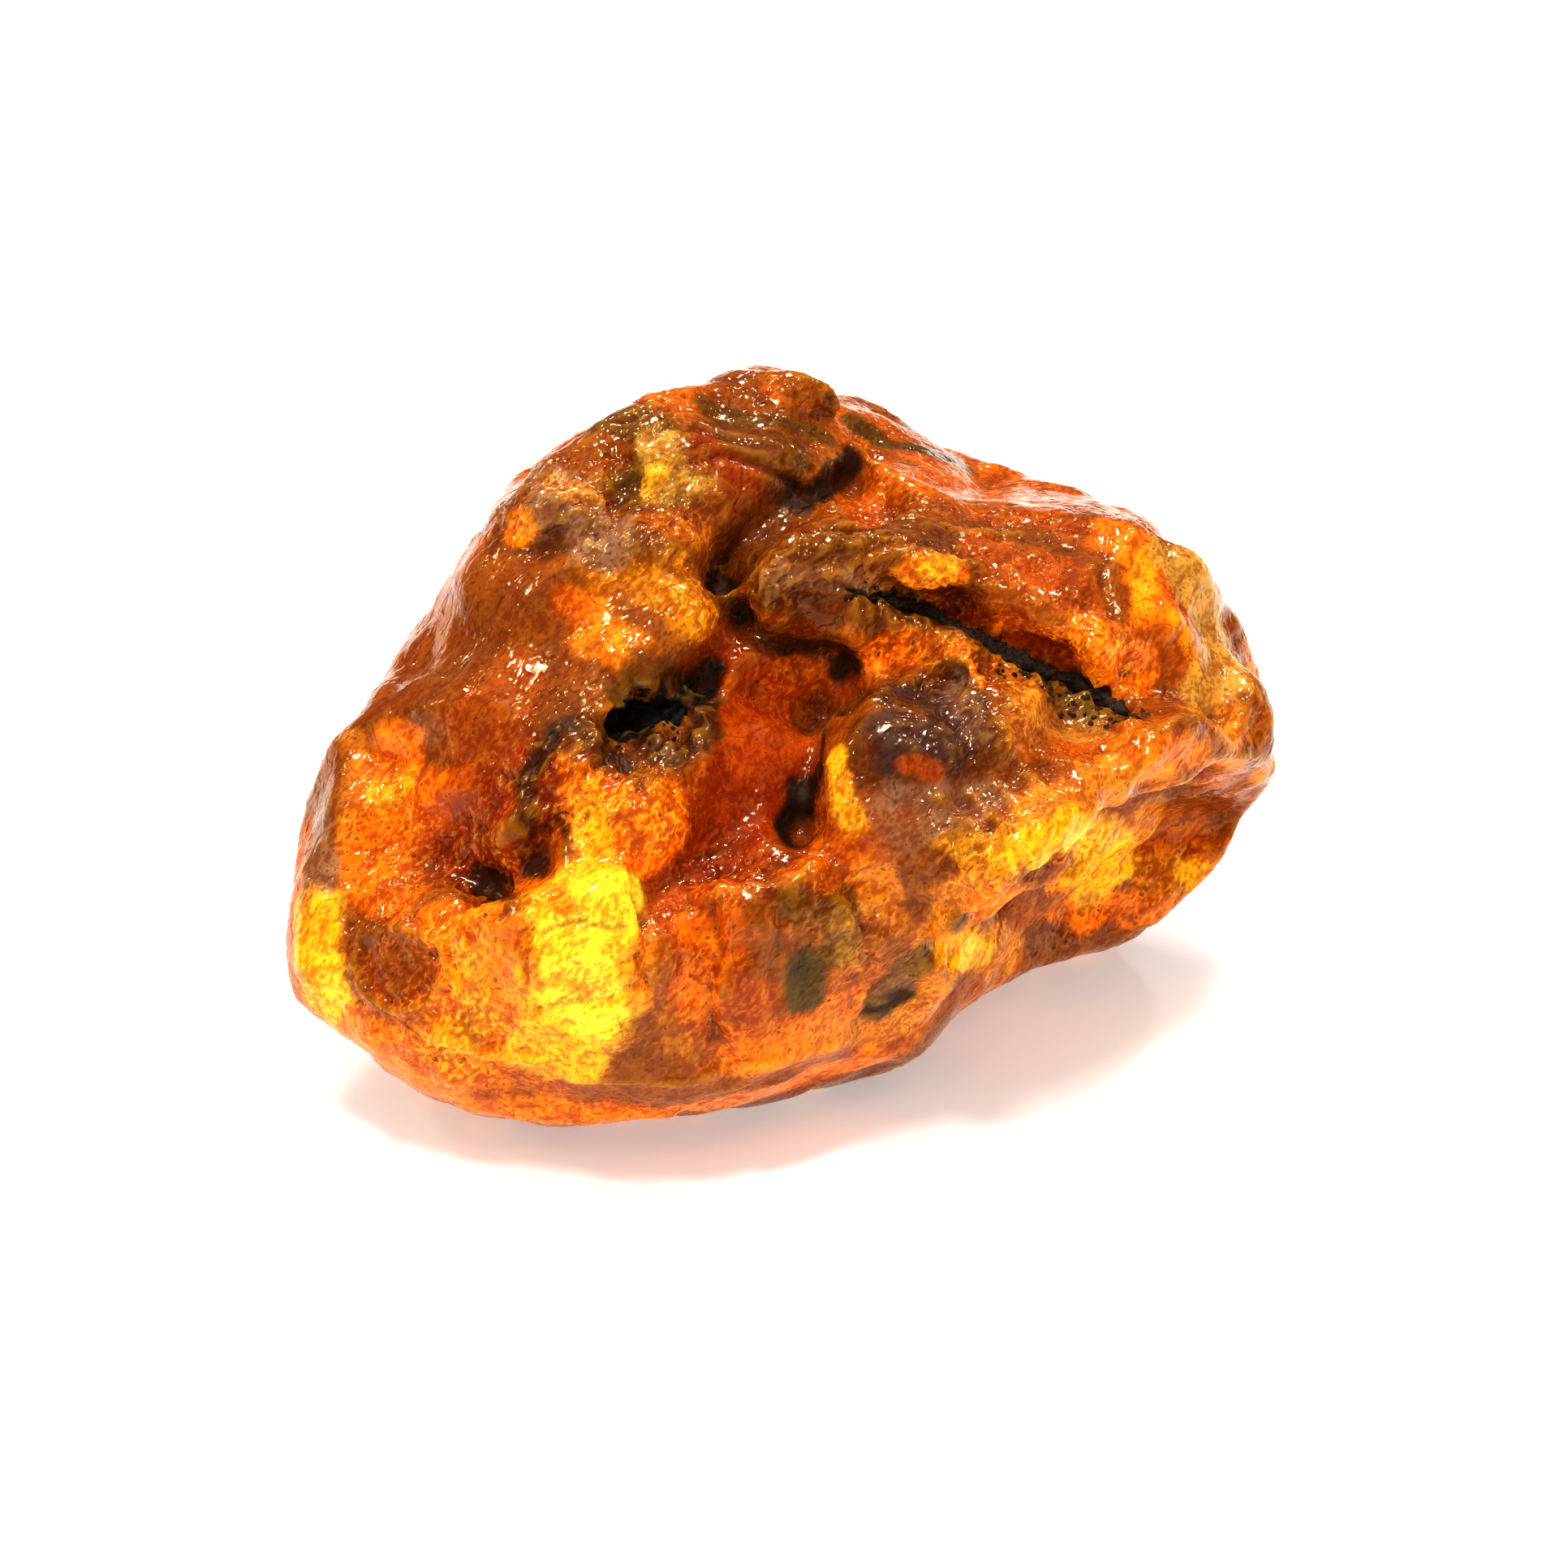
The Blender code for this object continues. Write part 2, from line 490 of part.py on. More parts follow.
def make_bark(collection, tree, finish):
    """A thin lumpy strip along the crack: a bevelled path, thicker in its middle."""
    path = np.array(CRACK)
    runs = np.concatenate([[0.0], np.cumsum(np.linalg.norm(np.diff(path, axis=0), axis=1))])
    steps = np.linspace(0.0, runs[-1], BARK_STEPS)
    curve = bpy.data.curves.new("bark_path", "CURVE")
    curve.dimensions = "3D"
    curve.bevel_depth = BARK_RADIUS * MM
    curve.bevel_resolution = 2
    curve.use_fill_caps = True
    line = curve.splines.new("POLY")
    line.points.add(len(steps) - 1)
    places = []
    for step in steps:
        hit, normal = skin_point(tree, np.interp(step, runs, path[:, 0]),
                                 np.interp(step, runs, path[:, 1]))
        places.append(hit - normal * BARK_SINK * MM)
    for _ in range(3):
        inner = [(places[i - 1] + places[i] * 2 + places[i + 1]) / 4
                 for i in range(1, len(places) - 1)]
        places = [places[0], *inner, places[-1]]
    for i, place in enumerate(places):
        share = i / (len(places) - 1)
        line.points[i].co = (*place, 1.0)
        line.points[i].radius = 0.45 + 0.6 * math.sin(math.pi * share) ** 0.6
    guide = bpy.data.objects.new("bark_path", curve)
    collection.objects.link(guide)
    mesh = evaluated_mesh(guide)
    bpy.data.objects.remove(guide)
    shape = bmesh.new()
    shape.from_mesh(mesh)
    bmesh.ops.remove_doubles(shape, verts=shape.verts[:], dist=1e-6)
    bmesh.ops.triangulate(shape, faces=shape.faces[:])
    bmesh.ops.recalc_face_normals(shape, faces=shape.faces[:])
    shape.to_mesh(mesh)
    shape.free()
    knots = np.array([noise.noise(Vector(p)) for p in points_of(mesh)])
    set_points(mesh, points_of(mesh) + normals_of(mesh) * (BARK_KNOTS * knots)[:, None])
    bark = bpy.data.objects.new("bark_strip", mesh)
    collection.objects.link(bark)
    bark.data.materials.append(finish)
    return bark


EARTH_SIZE = (2.7, 2.3, 1.7)    # half sizes of the plug along a, b and into the pit
EARTH_SINK = 0.9                # its middle lies this far under the bottom of the pit
EARTH_LUMPS = 0.13              # how uneven its skin is, as a share of its size


def make_earth(collection, tree, finish):
    """A lumpy plug of earth that sits in the bottom of the deep pit."""
    hit, _ = skin_point(tree, *PIT)
    axes = sheet_axes(0.0, SIGHT_ELEVATION)
    mesh = bpy.data.meshes.new("earth_plug")
    ball = bmesh.new()
    bmesh.ops.create_icosphere(ball, subdivisions=3, radius=1.0)
    ball.to_mesh(mesh)
    ball.free()
    unit = points_of(mesh) * MM
    lumps = np.array([1.0 + EARTH_LUMPS * noise.noise(Vector(p) * 2.1) for p in unit])
    sheet = unit * lumps[:, None] * np.array(EARTH_SIZE)
    middle = np.array(hit) / MM - axes[2] * EARTH_SINK
    set_points(mesh, sheet @ axes + middle)
    earth = bpy.data.objects.new("earth_plug", mesh)
    collection.objects.link(earth)
    earth.data.materials.append(finish)
    return earth


def cut_seat(lump, filling, cutters):
    """Cuts a seat for the filling from the lump, with the fit gap all round it."""
    mesh = filling.data.copy()
    swell(mesh, FIT_GAP)
    cutter = bpy.data.objects.new(filling.name + "_seat", mesh)
    cutter.hide_render = True
    cutter.display_type = "WIRE"
    cutters.objects.link(cutter)
    even_mesh(cutter, SEAT_VOXEL, 0)
    cut = lump.modifiers.new("seat", "BOOLEAN")
    cut.operation = "DIFFERENCE"
    cut.solver = "EXACT"
    cut.object = cutter
    take_modifiers(lump)


def largest_piece(mesh):
    """Drops slivers that a cut leaves loose, and keeps the lump."""
    shape = bmesh.new()
    shape.from_mesh(mesh)
    left, pieces = set(shape.verts), []
    while left:
        piece, front = set(), [left.pop()]
        while front:
            vert = front.pop()
            piece.add(vert)
            for edge in vert.link_edges:
                other = edge.other_vert(vert)
                if other in left:
                    left.remove(other)
                    front.append(other)
        pieces.append(piece)
    pieces.sort(key=len)
    for piece in pieces[:-1]:
        bmesh.ops.delete(shape, geom=list(piece), context="VERTS")
    shape.to_mesh(mesh)
    shape.free()


def stand_on_floor(objects):
    """Puts the middle of the whole box over the origin, with the resting face on z = 0."""
    everything = np.vstack([points_of(obj.data) for obj in objects])
    low, high = everything.min(axis=0), everything.max(axis=0)
    shift = np.array([-(low[0] + high[0]) / 2.0, -(low[1] + high[1]) / 2.0, -low[2]])
    for obj in objects:
        obj.data.transform(Matrix.Translation(Vector(shift * MM)))
    print("the middle of the front sheet is at", np.round(shift, 3), "mm")


def build():
    clear_scene()
    collection = bpy.data.collections.new("raw_amber_piece")
    cutters = bpy.data.collections.new("cutters")
    bpy.context.scene.collection.children.link(collection)
    bpy.context.scene.collection.children.link(cutters)
    amber = material("amber", (0.80, 0.33, 0.04), 0.18, transmission=0.6)
    bark_brown = material("bark", (0.09, 0.075, 0.055), 0.75)
    earth_black = material("earth", (0.018, 0.014, 0.011), 0.9)

    lump = make_lump(collection, amber)
    tree = BVHTree.FromObject(lump, bpy.context.evaluated_depsgraph_get())
    bark = make_bark(collection, tree, bark_brown)
    earth = make_earth(collection, tree, earth_black)
    cut_seat(lump, bark, cutters)
    cut_seat(lump, earth, cutters)
    largest_piece(lump.data)
    stand_on_floor([lump, bark, earth])
    for obj in (lump, bark, earth):
        obj.data.shade_smooth()


build()
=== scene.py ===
import math

import bmesh
import bpy
import numpy as np
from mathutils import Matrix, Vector, noise
from mathutils.bvhtree import BVHTree


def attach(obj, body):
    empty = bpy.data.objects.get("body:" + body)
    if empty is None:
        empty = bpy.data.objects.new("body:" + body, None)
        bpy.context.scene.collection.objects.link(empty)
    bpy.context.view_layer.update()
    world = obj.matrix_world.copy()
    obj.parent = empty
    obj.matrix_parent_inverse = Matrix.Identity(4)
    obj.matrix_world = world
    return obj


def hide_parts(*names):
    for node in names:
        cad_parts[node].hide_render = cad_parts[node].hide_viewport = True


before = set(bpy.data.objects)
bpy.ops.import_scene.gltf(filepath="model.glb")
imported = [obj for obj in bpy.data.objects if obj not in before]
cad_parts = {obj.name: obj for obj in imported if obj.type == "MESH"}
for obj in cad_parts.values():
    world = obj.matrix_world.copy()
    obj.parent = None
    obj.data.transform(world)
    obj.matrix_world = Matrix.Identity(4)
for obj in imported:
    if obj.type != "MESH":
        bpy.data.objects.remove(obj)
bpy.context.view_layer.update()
scene = bpy.context.scene
millimetre = 0.001

# Places on the lump are given on a sheet through its middle that faces the viewer:
# a runs right and b runs up, in millimetres, as in the model of the solids.
view = {
    "sheetMiddle": (-0.180, -0.325, 15.4),  # mm, where the sheet's middle stands
    "elevation": 30.0,                      # degrees that the viewer looks down
    "distance": 402.5,                      # mm from the eye to the sheet's middle
    "lens": 150.0,
    "sensor": 36.0,
}


def sheetAxes(azimuth, elevation):
    # right, up and towards the viewer
    turn, rise = math.radians(azimuth), math.radians(elevation)
    toward = Vector((math.sin(turn) * math.cos(rise), -math.cos(turn) * math.cos(rise), math.sin(rise)))
    right = Vector((math.cos(turn), math.sin(turn), 0.0))
    return right, toward.cross(right), toward


frontRight, frontUp, frontToward = sheetAxes(0.0, view["elevation"])
sheetMiddle = Vector(view["sheetMiddle"]) * millimetre
eye = sheetMiddle + frontToward * view["distance"] * millimetre


def smoothStep(low, high, value):
    share = np.clip((value - low) / (high - low), 0.0, 1.0)
    return share * share * (3.0 - 2.0 * share)


def meshPoints(mesh):
    flat = np.empty(len(mesh.vertices) * 3)
    mesh.vertices.foreach_get("co", flat)
    return flat.reshape(-1, 3) / millimetre


def meshNormals(mesh):
    flat = np.empty(len(mesh.vertices) * 3)
    mesh.vertices.foreach_get("normal", flat)
    return flat.reshape(-1, 3)


def setMeshPoints(mesh, points):
    mesh.vertices.foreach_set("co", (points * millimetre).ravel())
    mesh.update()


def nodeCopy(nodeName, pieceName):
    # a merged copy of a CAD node, to be worked on
    shape = bmesh.new()
    shape.from_mesh(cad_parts[nodeName].data)
    bmesh.ops.remove_doubles(shape, verts=shape.verts[:], dist=1e-6)
    mesh = bpy.data.meshes.new(pieceName)
    shape.to_mesh(mesh)
    shape.free()
    piece = bpy.data.objects.new(pieceName, mesh)
    scene.collection.objects.link(piece)
    return piece


def takeModifiers(piece):
    bpy.context.view_layer.update()
    evaluated = piece.evaluated_get(bpy.context.evaluated_depsgraph_get())
    piece.data, old = bpy.data.meshes.new_from_object(evaluated), piece.data
    piece.modifiers.clear()
    bpy.data.meshes.remove(old)


def evenFaces(piece, voxel, smoothing):
    remesh = piece.modifiers.new("even faces", "REMESH")
    remesh.mode = "VOXEL"
    remesh.voxel_size = voxel * millimetre
    soften = piece.modifiers.new("soften", "SMOOTH")
    soften.factor = 0.5
    soften.iterations = smoothing
    takeModifiers(piece)


def noiseAt(points, size, seed):
    # soft noise from about -1 to 1, mostly within 0.6, with bumps of this size in mm
    shift = Vector((seed * 7.31, seed * -3.77, seed * 5.19))
    return np.array([noise.noise(Vector(p) / size + shift) for p in points])


def layered(points, layers, seed):
    # soft noises added up, each with its size in mm and its strength
    return sum(strength * noiseAt(points, size, seed + i) for i, (size, strength) in enumerate(layers))


def warped(points, size, amount, seed):
    # the points pushed about, so that a pattern on them bends and breaks
    push = [noiseAt(points, size, seed + i) for i in range(3)]
    return points + np.column_stack(push) * amount


def creased(points, size, seed):
    # rounded swellings with sharp creases between them, from 0 in a crease to about 1
    return np.minimum(np.abs(noiseAt(points, size, seed)) * 2.6, 1.0)


def alongGrain(points, stretch):
    # the points drawn together along the grain, so that a pattern on them is that much longer there
    grain = np.array(lumpSkin["grainWay"]) / np.linalg.norm(lumpSkin["grainWay"])
    return points - np.outer(points @ grain, grain) * (1.0 - 1.0 / stretch)


def crested(points, size, seed):
    # sharp wrinkle crests with rounded hollows between them
    return 1.0 - creased(points, size, seed)


def wayToPath(points, path):
    # from each point to the nearest place on a path in space
    way = path[0] - points
    for start, end in zip(path[:-1], path[1:]):
        run = end - start
        share = np.clip((points - start) @ run / max(run @ run, 1e-9), 0.0, 1.0)
        other = start + share[:, None] * run - points
        nearer = (other ** 2).sum(axis=1) < (way ** 2).sum(axis=1)
        way[nearer] = other[nearer]
    return way


def pathGap(points, path):
    return np.linalg.norm(wayToPath(points, path), axis=1)


lumpTree = BVHTree.FromObject(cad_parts["amber_lump"], bpy.context.evaluated_depsgraph_get())


def skinPoint(a, b):
    # where the viewer's line of sight through (a, b) on the sheet meets the lump, in mm
    target = sheetMiddle + (frontRight * a + frontUp * b) * millimetre
    hit = lumpTree.ray_cast(eye, (target - eye).normalized())[0]
    return np.array(hit if hit else target) / millimetre


def skinPath(path):
    return np.array([skinPoint(a, b) for a, b in path])


# Skin of the lump: fine relief
lumpSkin = {
    "voxel": 0.352,             # mm between the skin's points
    "smoothing": 6,
    "lumps": (4.2, 0.12),       # size and height in mm
    "folds": (2.3, 0.12),
    "wrinkles": (1.0, 0.14),
    "grain": (0.6, 0.03),
    "grainWay": (0.62, 0.39, 0.68),     # the wrinkles run mostly this way, this much longer
    "grainStretch": 2.0,
    "warp": (2.4, 1.8),
    "pits": (1.7, 0.30, 0.3),   # spacing, depth, share of cells that have one
    "footFade": 1.6,            # mm above the floor over which relief comes in
}
# Openings whose edges are drawn in and broken: path on the sheet, how far, at what distance, in mm
openings = [
    ([(4.4, 11.7), (8.9, 10.4), (15.2, 7.0), (21.2, 4.2)], 0.5, 1.9),
    ([(-9.4, 4.4), (-6.2, 4.6)], 0.5, 3.4),
]

# Strokes that the photo shows and that are too fine for the solids:
# path on the sheet, rise in mm (negative carves), half width in mm
fineStrokes = [
    ([(-9.2, -6.6), (-8.5, -8.6), (-8.9, -10.8), (-8.3, -12.6)], -0.55, 0.32),   # crack by the window
    ([(-9.0, -8.6), (-10.8, -8.9), (-12.6, -8.4), (-14.6, -9.0)], -0.28, 0.25),
    ([(-8.9, -10.6), (-10.6, -11.4), (-12.8, -11.2)], -0.26, 0.25),
    ([(-9.4, -12.4), (-11.4, -13.6), (-13.4, -13.2), (-15.2, -14.2)], -0.28, 0.25),
    ([(-13.6, -6.6), (-15.4, -8.2), (-15.9, -11.0), (-15.2, -14.2)], -0.3, 0.3),
    ([(-25.9, -9.3), (-23.6, -8.9), (-21.2, -9.6), (-20.6, -11.6), (-21.6, -13.4), (-23.8, -14.0),
      (-25.8, -12.9), (-26.3, -10.9), (-25.9, -9.3)], 0.5, 0.42),                # rim of the brown patch
    ([(-20.0, -7.6), (-17.6, -8.8), (-15.6, -8.2)], 0.45, 0.4),                  # lip of the hollow
    ([(-17.6, 11.6), (-20.4, 7.0), (-23.0, 3.2)], -0.35, 0.45),
    ([(-14.0, 17.4), (-12.6, 17.9), (-11.2, 17.2), (-10.9, 15.9)], 0.42, 0.36),  # shell knob
    ([(-13.6, 16.4), (-12.5, 16.9), (-11.6, 16.2)], 0.34, 0.26),
    ([(-9.8, 22.4), (-7.6, 23.2), (-4.8, 22.9), (-1.6, 22.2), (2.0, 20.8)], -0.4, 0.35),
    ([(-8.6, 21.4), (-5.4, 22.0), (-1.8, 21.0), (1.6, 19.4)], -0.35, 0.3),
    ([(-6.6, 19.6), (-3.8, 20.4), (-1.0, 19.4), (1.4, 17.9)], -0.35, 0.3),
    ([(2.6, 13.2), (5.4, 13.9), (8.6, 14.3), (12.0, 13.4)], 0.4, 0.4),
    ([(3.4, 15.8), (7.4, 16.3), (11.2, 15.4), (14.6, 15.3)], 0.35, 0.4),
    ([(0.4, 12.4), (3.0, 12.9), (6.2, 12.4)], 0.35, 0.35),
    ([(7.0, 13.1), (8.4, 13.8), (10.4, 13.5), (11.3, 12.7), (9.6, 12.2), (7.8, 12.4),
      (7.0, 13.1)], 0.3, 0.28),
    ([(19.9, 15.6), (19.6, 12.8), (20.2, 10.4)], -0.35, 0.35),
    ([(23.6, 14.6), (24.6, 11.4), (24.2, 8.6)], -0.3, 0.4),
    ([(9.5, -0.8), (11.6, -2.6), (12.9, -4.2)], 0.4, 0.4),                       # golden waves
    ([(11.4, -0.6), (13.2, -2.4), (14.3, -3.8)], 0.36, 0.36),
    ([(13.2, -0.2), (14.8, -1.8), (16.0, -3.2)], 0.36, 0.36),
    ([(15.0, 0.6), (16.6, -1.0), (17.6, -2.0)], 0.32, 0.36),
    ([(23.6, -5.0), (24.3, -3.9), (25.6, -3.4), (26.6, -4.2), (26.2, -5.6), (24.9, -7.0), (23.8, -6.6),
      (23.6, -5.0)], 0.5, 0.34),                                                 # rim of the ring hole
    ([(-4.6, -7.6), (-3.9, -10.4), (-4.8, -13.0), (-4.2, -15.6)], -0.4, 0.4),
    ([(-0.6, -6.8), (-0.1, -9.2), (-0.9, -12.2), (-0.2, -15.4)], -0.35, 0.4),
    ([(4.0, -6.4), (5.0, -8.8), (5.4, -11.2)], -0.4, 0.4),
    ([(-21.6, -15.4), (-18.4, -16.6), (-15.2, -17.0)], 0.35, 0.5),
    ([(-12.6, -18.0), (-6.6, -18.4), (-1.0, -17.2), (3.8, -15.6)], 0.4, 0.5),    # bottom rim
]


def hollowness(mesh, rounds):
    # how far each point lies under the mean of its surroundings, in mm: positive in a hollow
    points = meshPoints(mesh)
    edges = np.empty(len(mesh.edges) * 2, np.int64)
    mesh.edges.foreach_get("vertices", edges)
    first, second = edges[0::2], edges[1::2]
    count = np.bincount(edges, minlength=len(points))[:, None]
    around = points.copy()
    for _ in range(rounds):
        total = np.zeros_like(around)
        for axis in range(3):
            total[:, axis] = (np.bincount(first, around[second, axis], len(points))
                              + np.bincount(second, around[first, axis], len(points)))
        around = 0.5 * around + 0.5 * total / count
    return np.einsum("ij,ij->i", around - points, meshNormals(mesh))


def smallPits(points, spacing, depth, share):
    # steep little pits, one in some cells of a broken net
    amount = np.zeros(len(points))
    for i, point in enumerate(points):
        gaps, centres = noise.voronoi(Vector(point) / spacing)
        if noise.cell(centres[0] * 13.7) < share:
            amount[i] = -depth * math.exp(-(gaps[0] / 0.2) ** 2)
    return amount


def carveSkin(mesh, wrinkled):
    # fine relief on the lump, the broad waves first
    start = meshPoints(mesh)
    keep = smoothStep(0.0, lumpSkin["footFade"], start[:, 2])
    bent = alongGrain(warped(start, *lumpSkin["warp"], 11), lumpSkin["grainStretch"])
    calm = wrinkled ** 1.5 * 1.6
    rise = noiseAt(start, lumpSkin["lumps"][0], 1) * lumpSkin["lumps"][1]
    rise += (creased(bent, lumpSkin["folds"][0], 2) - 0.45) * lumpSkin["folds"][1] * calm
    rise += (crested(bent, lumpSkin["wrinkles"][0], 3) - 0.55) * lumpSkin["wrinkles"][1] * calm
    rise += noiseAt(bent, lumpSkin["grain"][0], 4) * lumpSkin["grain"][1] * calm
    rise += smallPits(bent, *lumpSkin["pits"]) * calm
    facing = meshNormals(mesh) @ np.array(frontToward)
    for path, height, width in fineStrokes:
        gap = pathGap(start, skinPath(path))
        rise += height * np.exp(-(gap / width) ** 2) * smoothStep(0.0, 0.3, facing)
    moved = start + meshNormals(mesh) * (rise * keep)[:, None]
    toward = np.array(frontToward)
    for path, pull, reach in openings:
        way = wayToPath(start, skinPath(path))
        way -= np.outer(way @ toward, toward)
        gap = np.linalg.norm(way, axis=1)
        share = pull * smoothStep(0.0, 0.4, gap / reach) * (1.0 - smoothStep(0.5, 1.0, gap / reach))
        share *= (1.0 + 1.3 * noiseAt(start, 0.9, 61)) * smoothStep(0.0, 0.3, facing)
        moved += way / np.maximum(gap, 1e-6)[:, None] * share[:, None]
    setMeshPoints(mesh, moved)


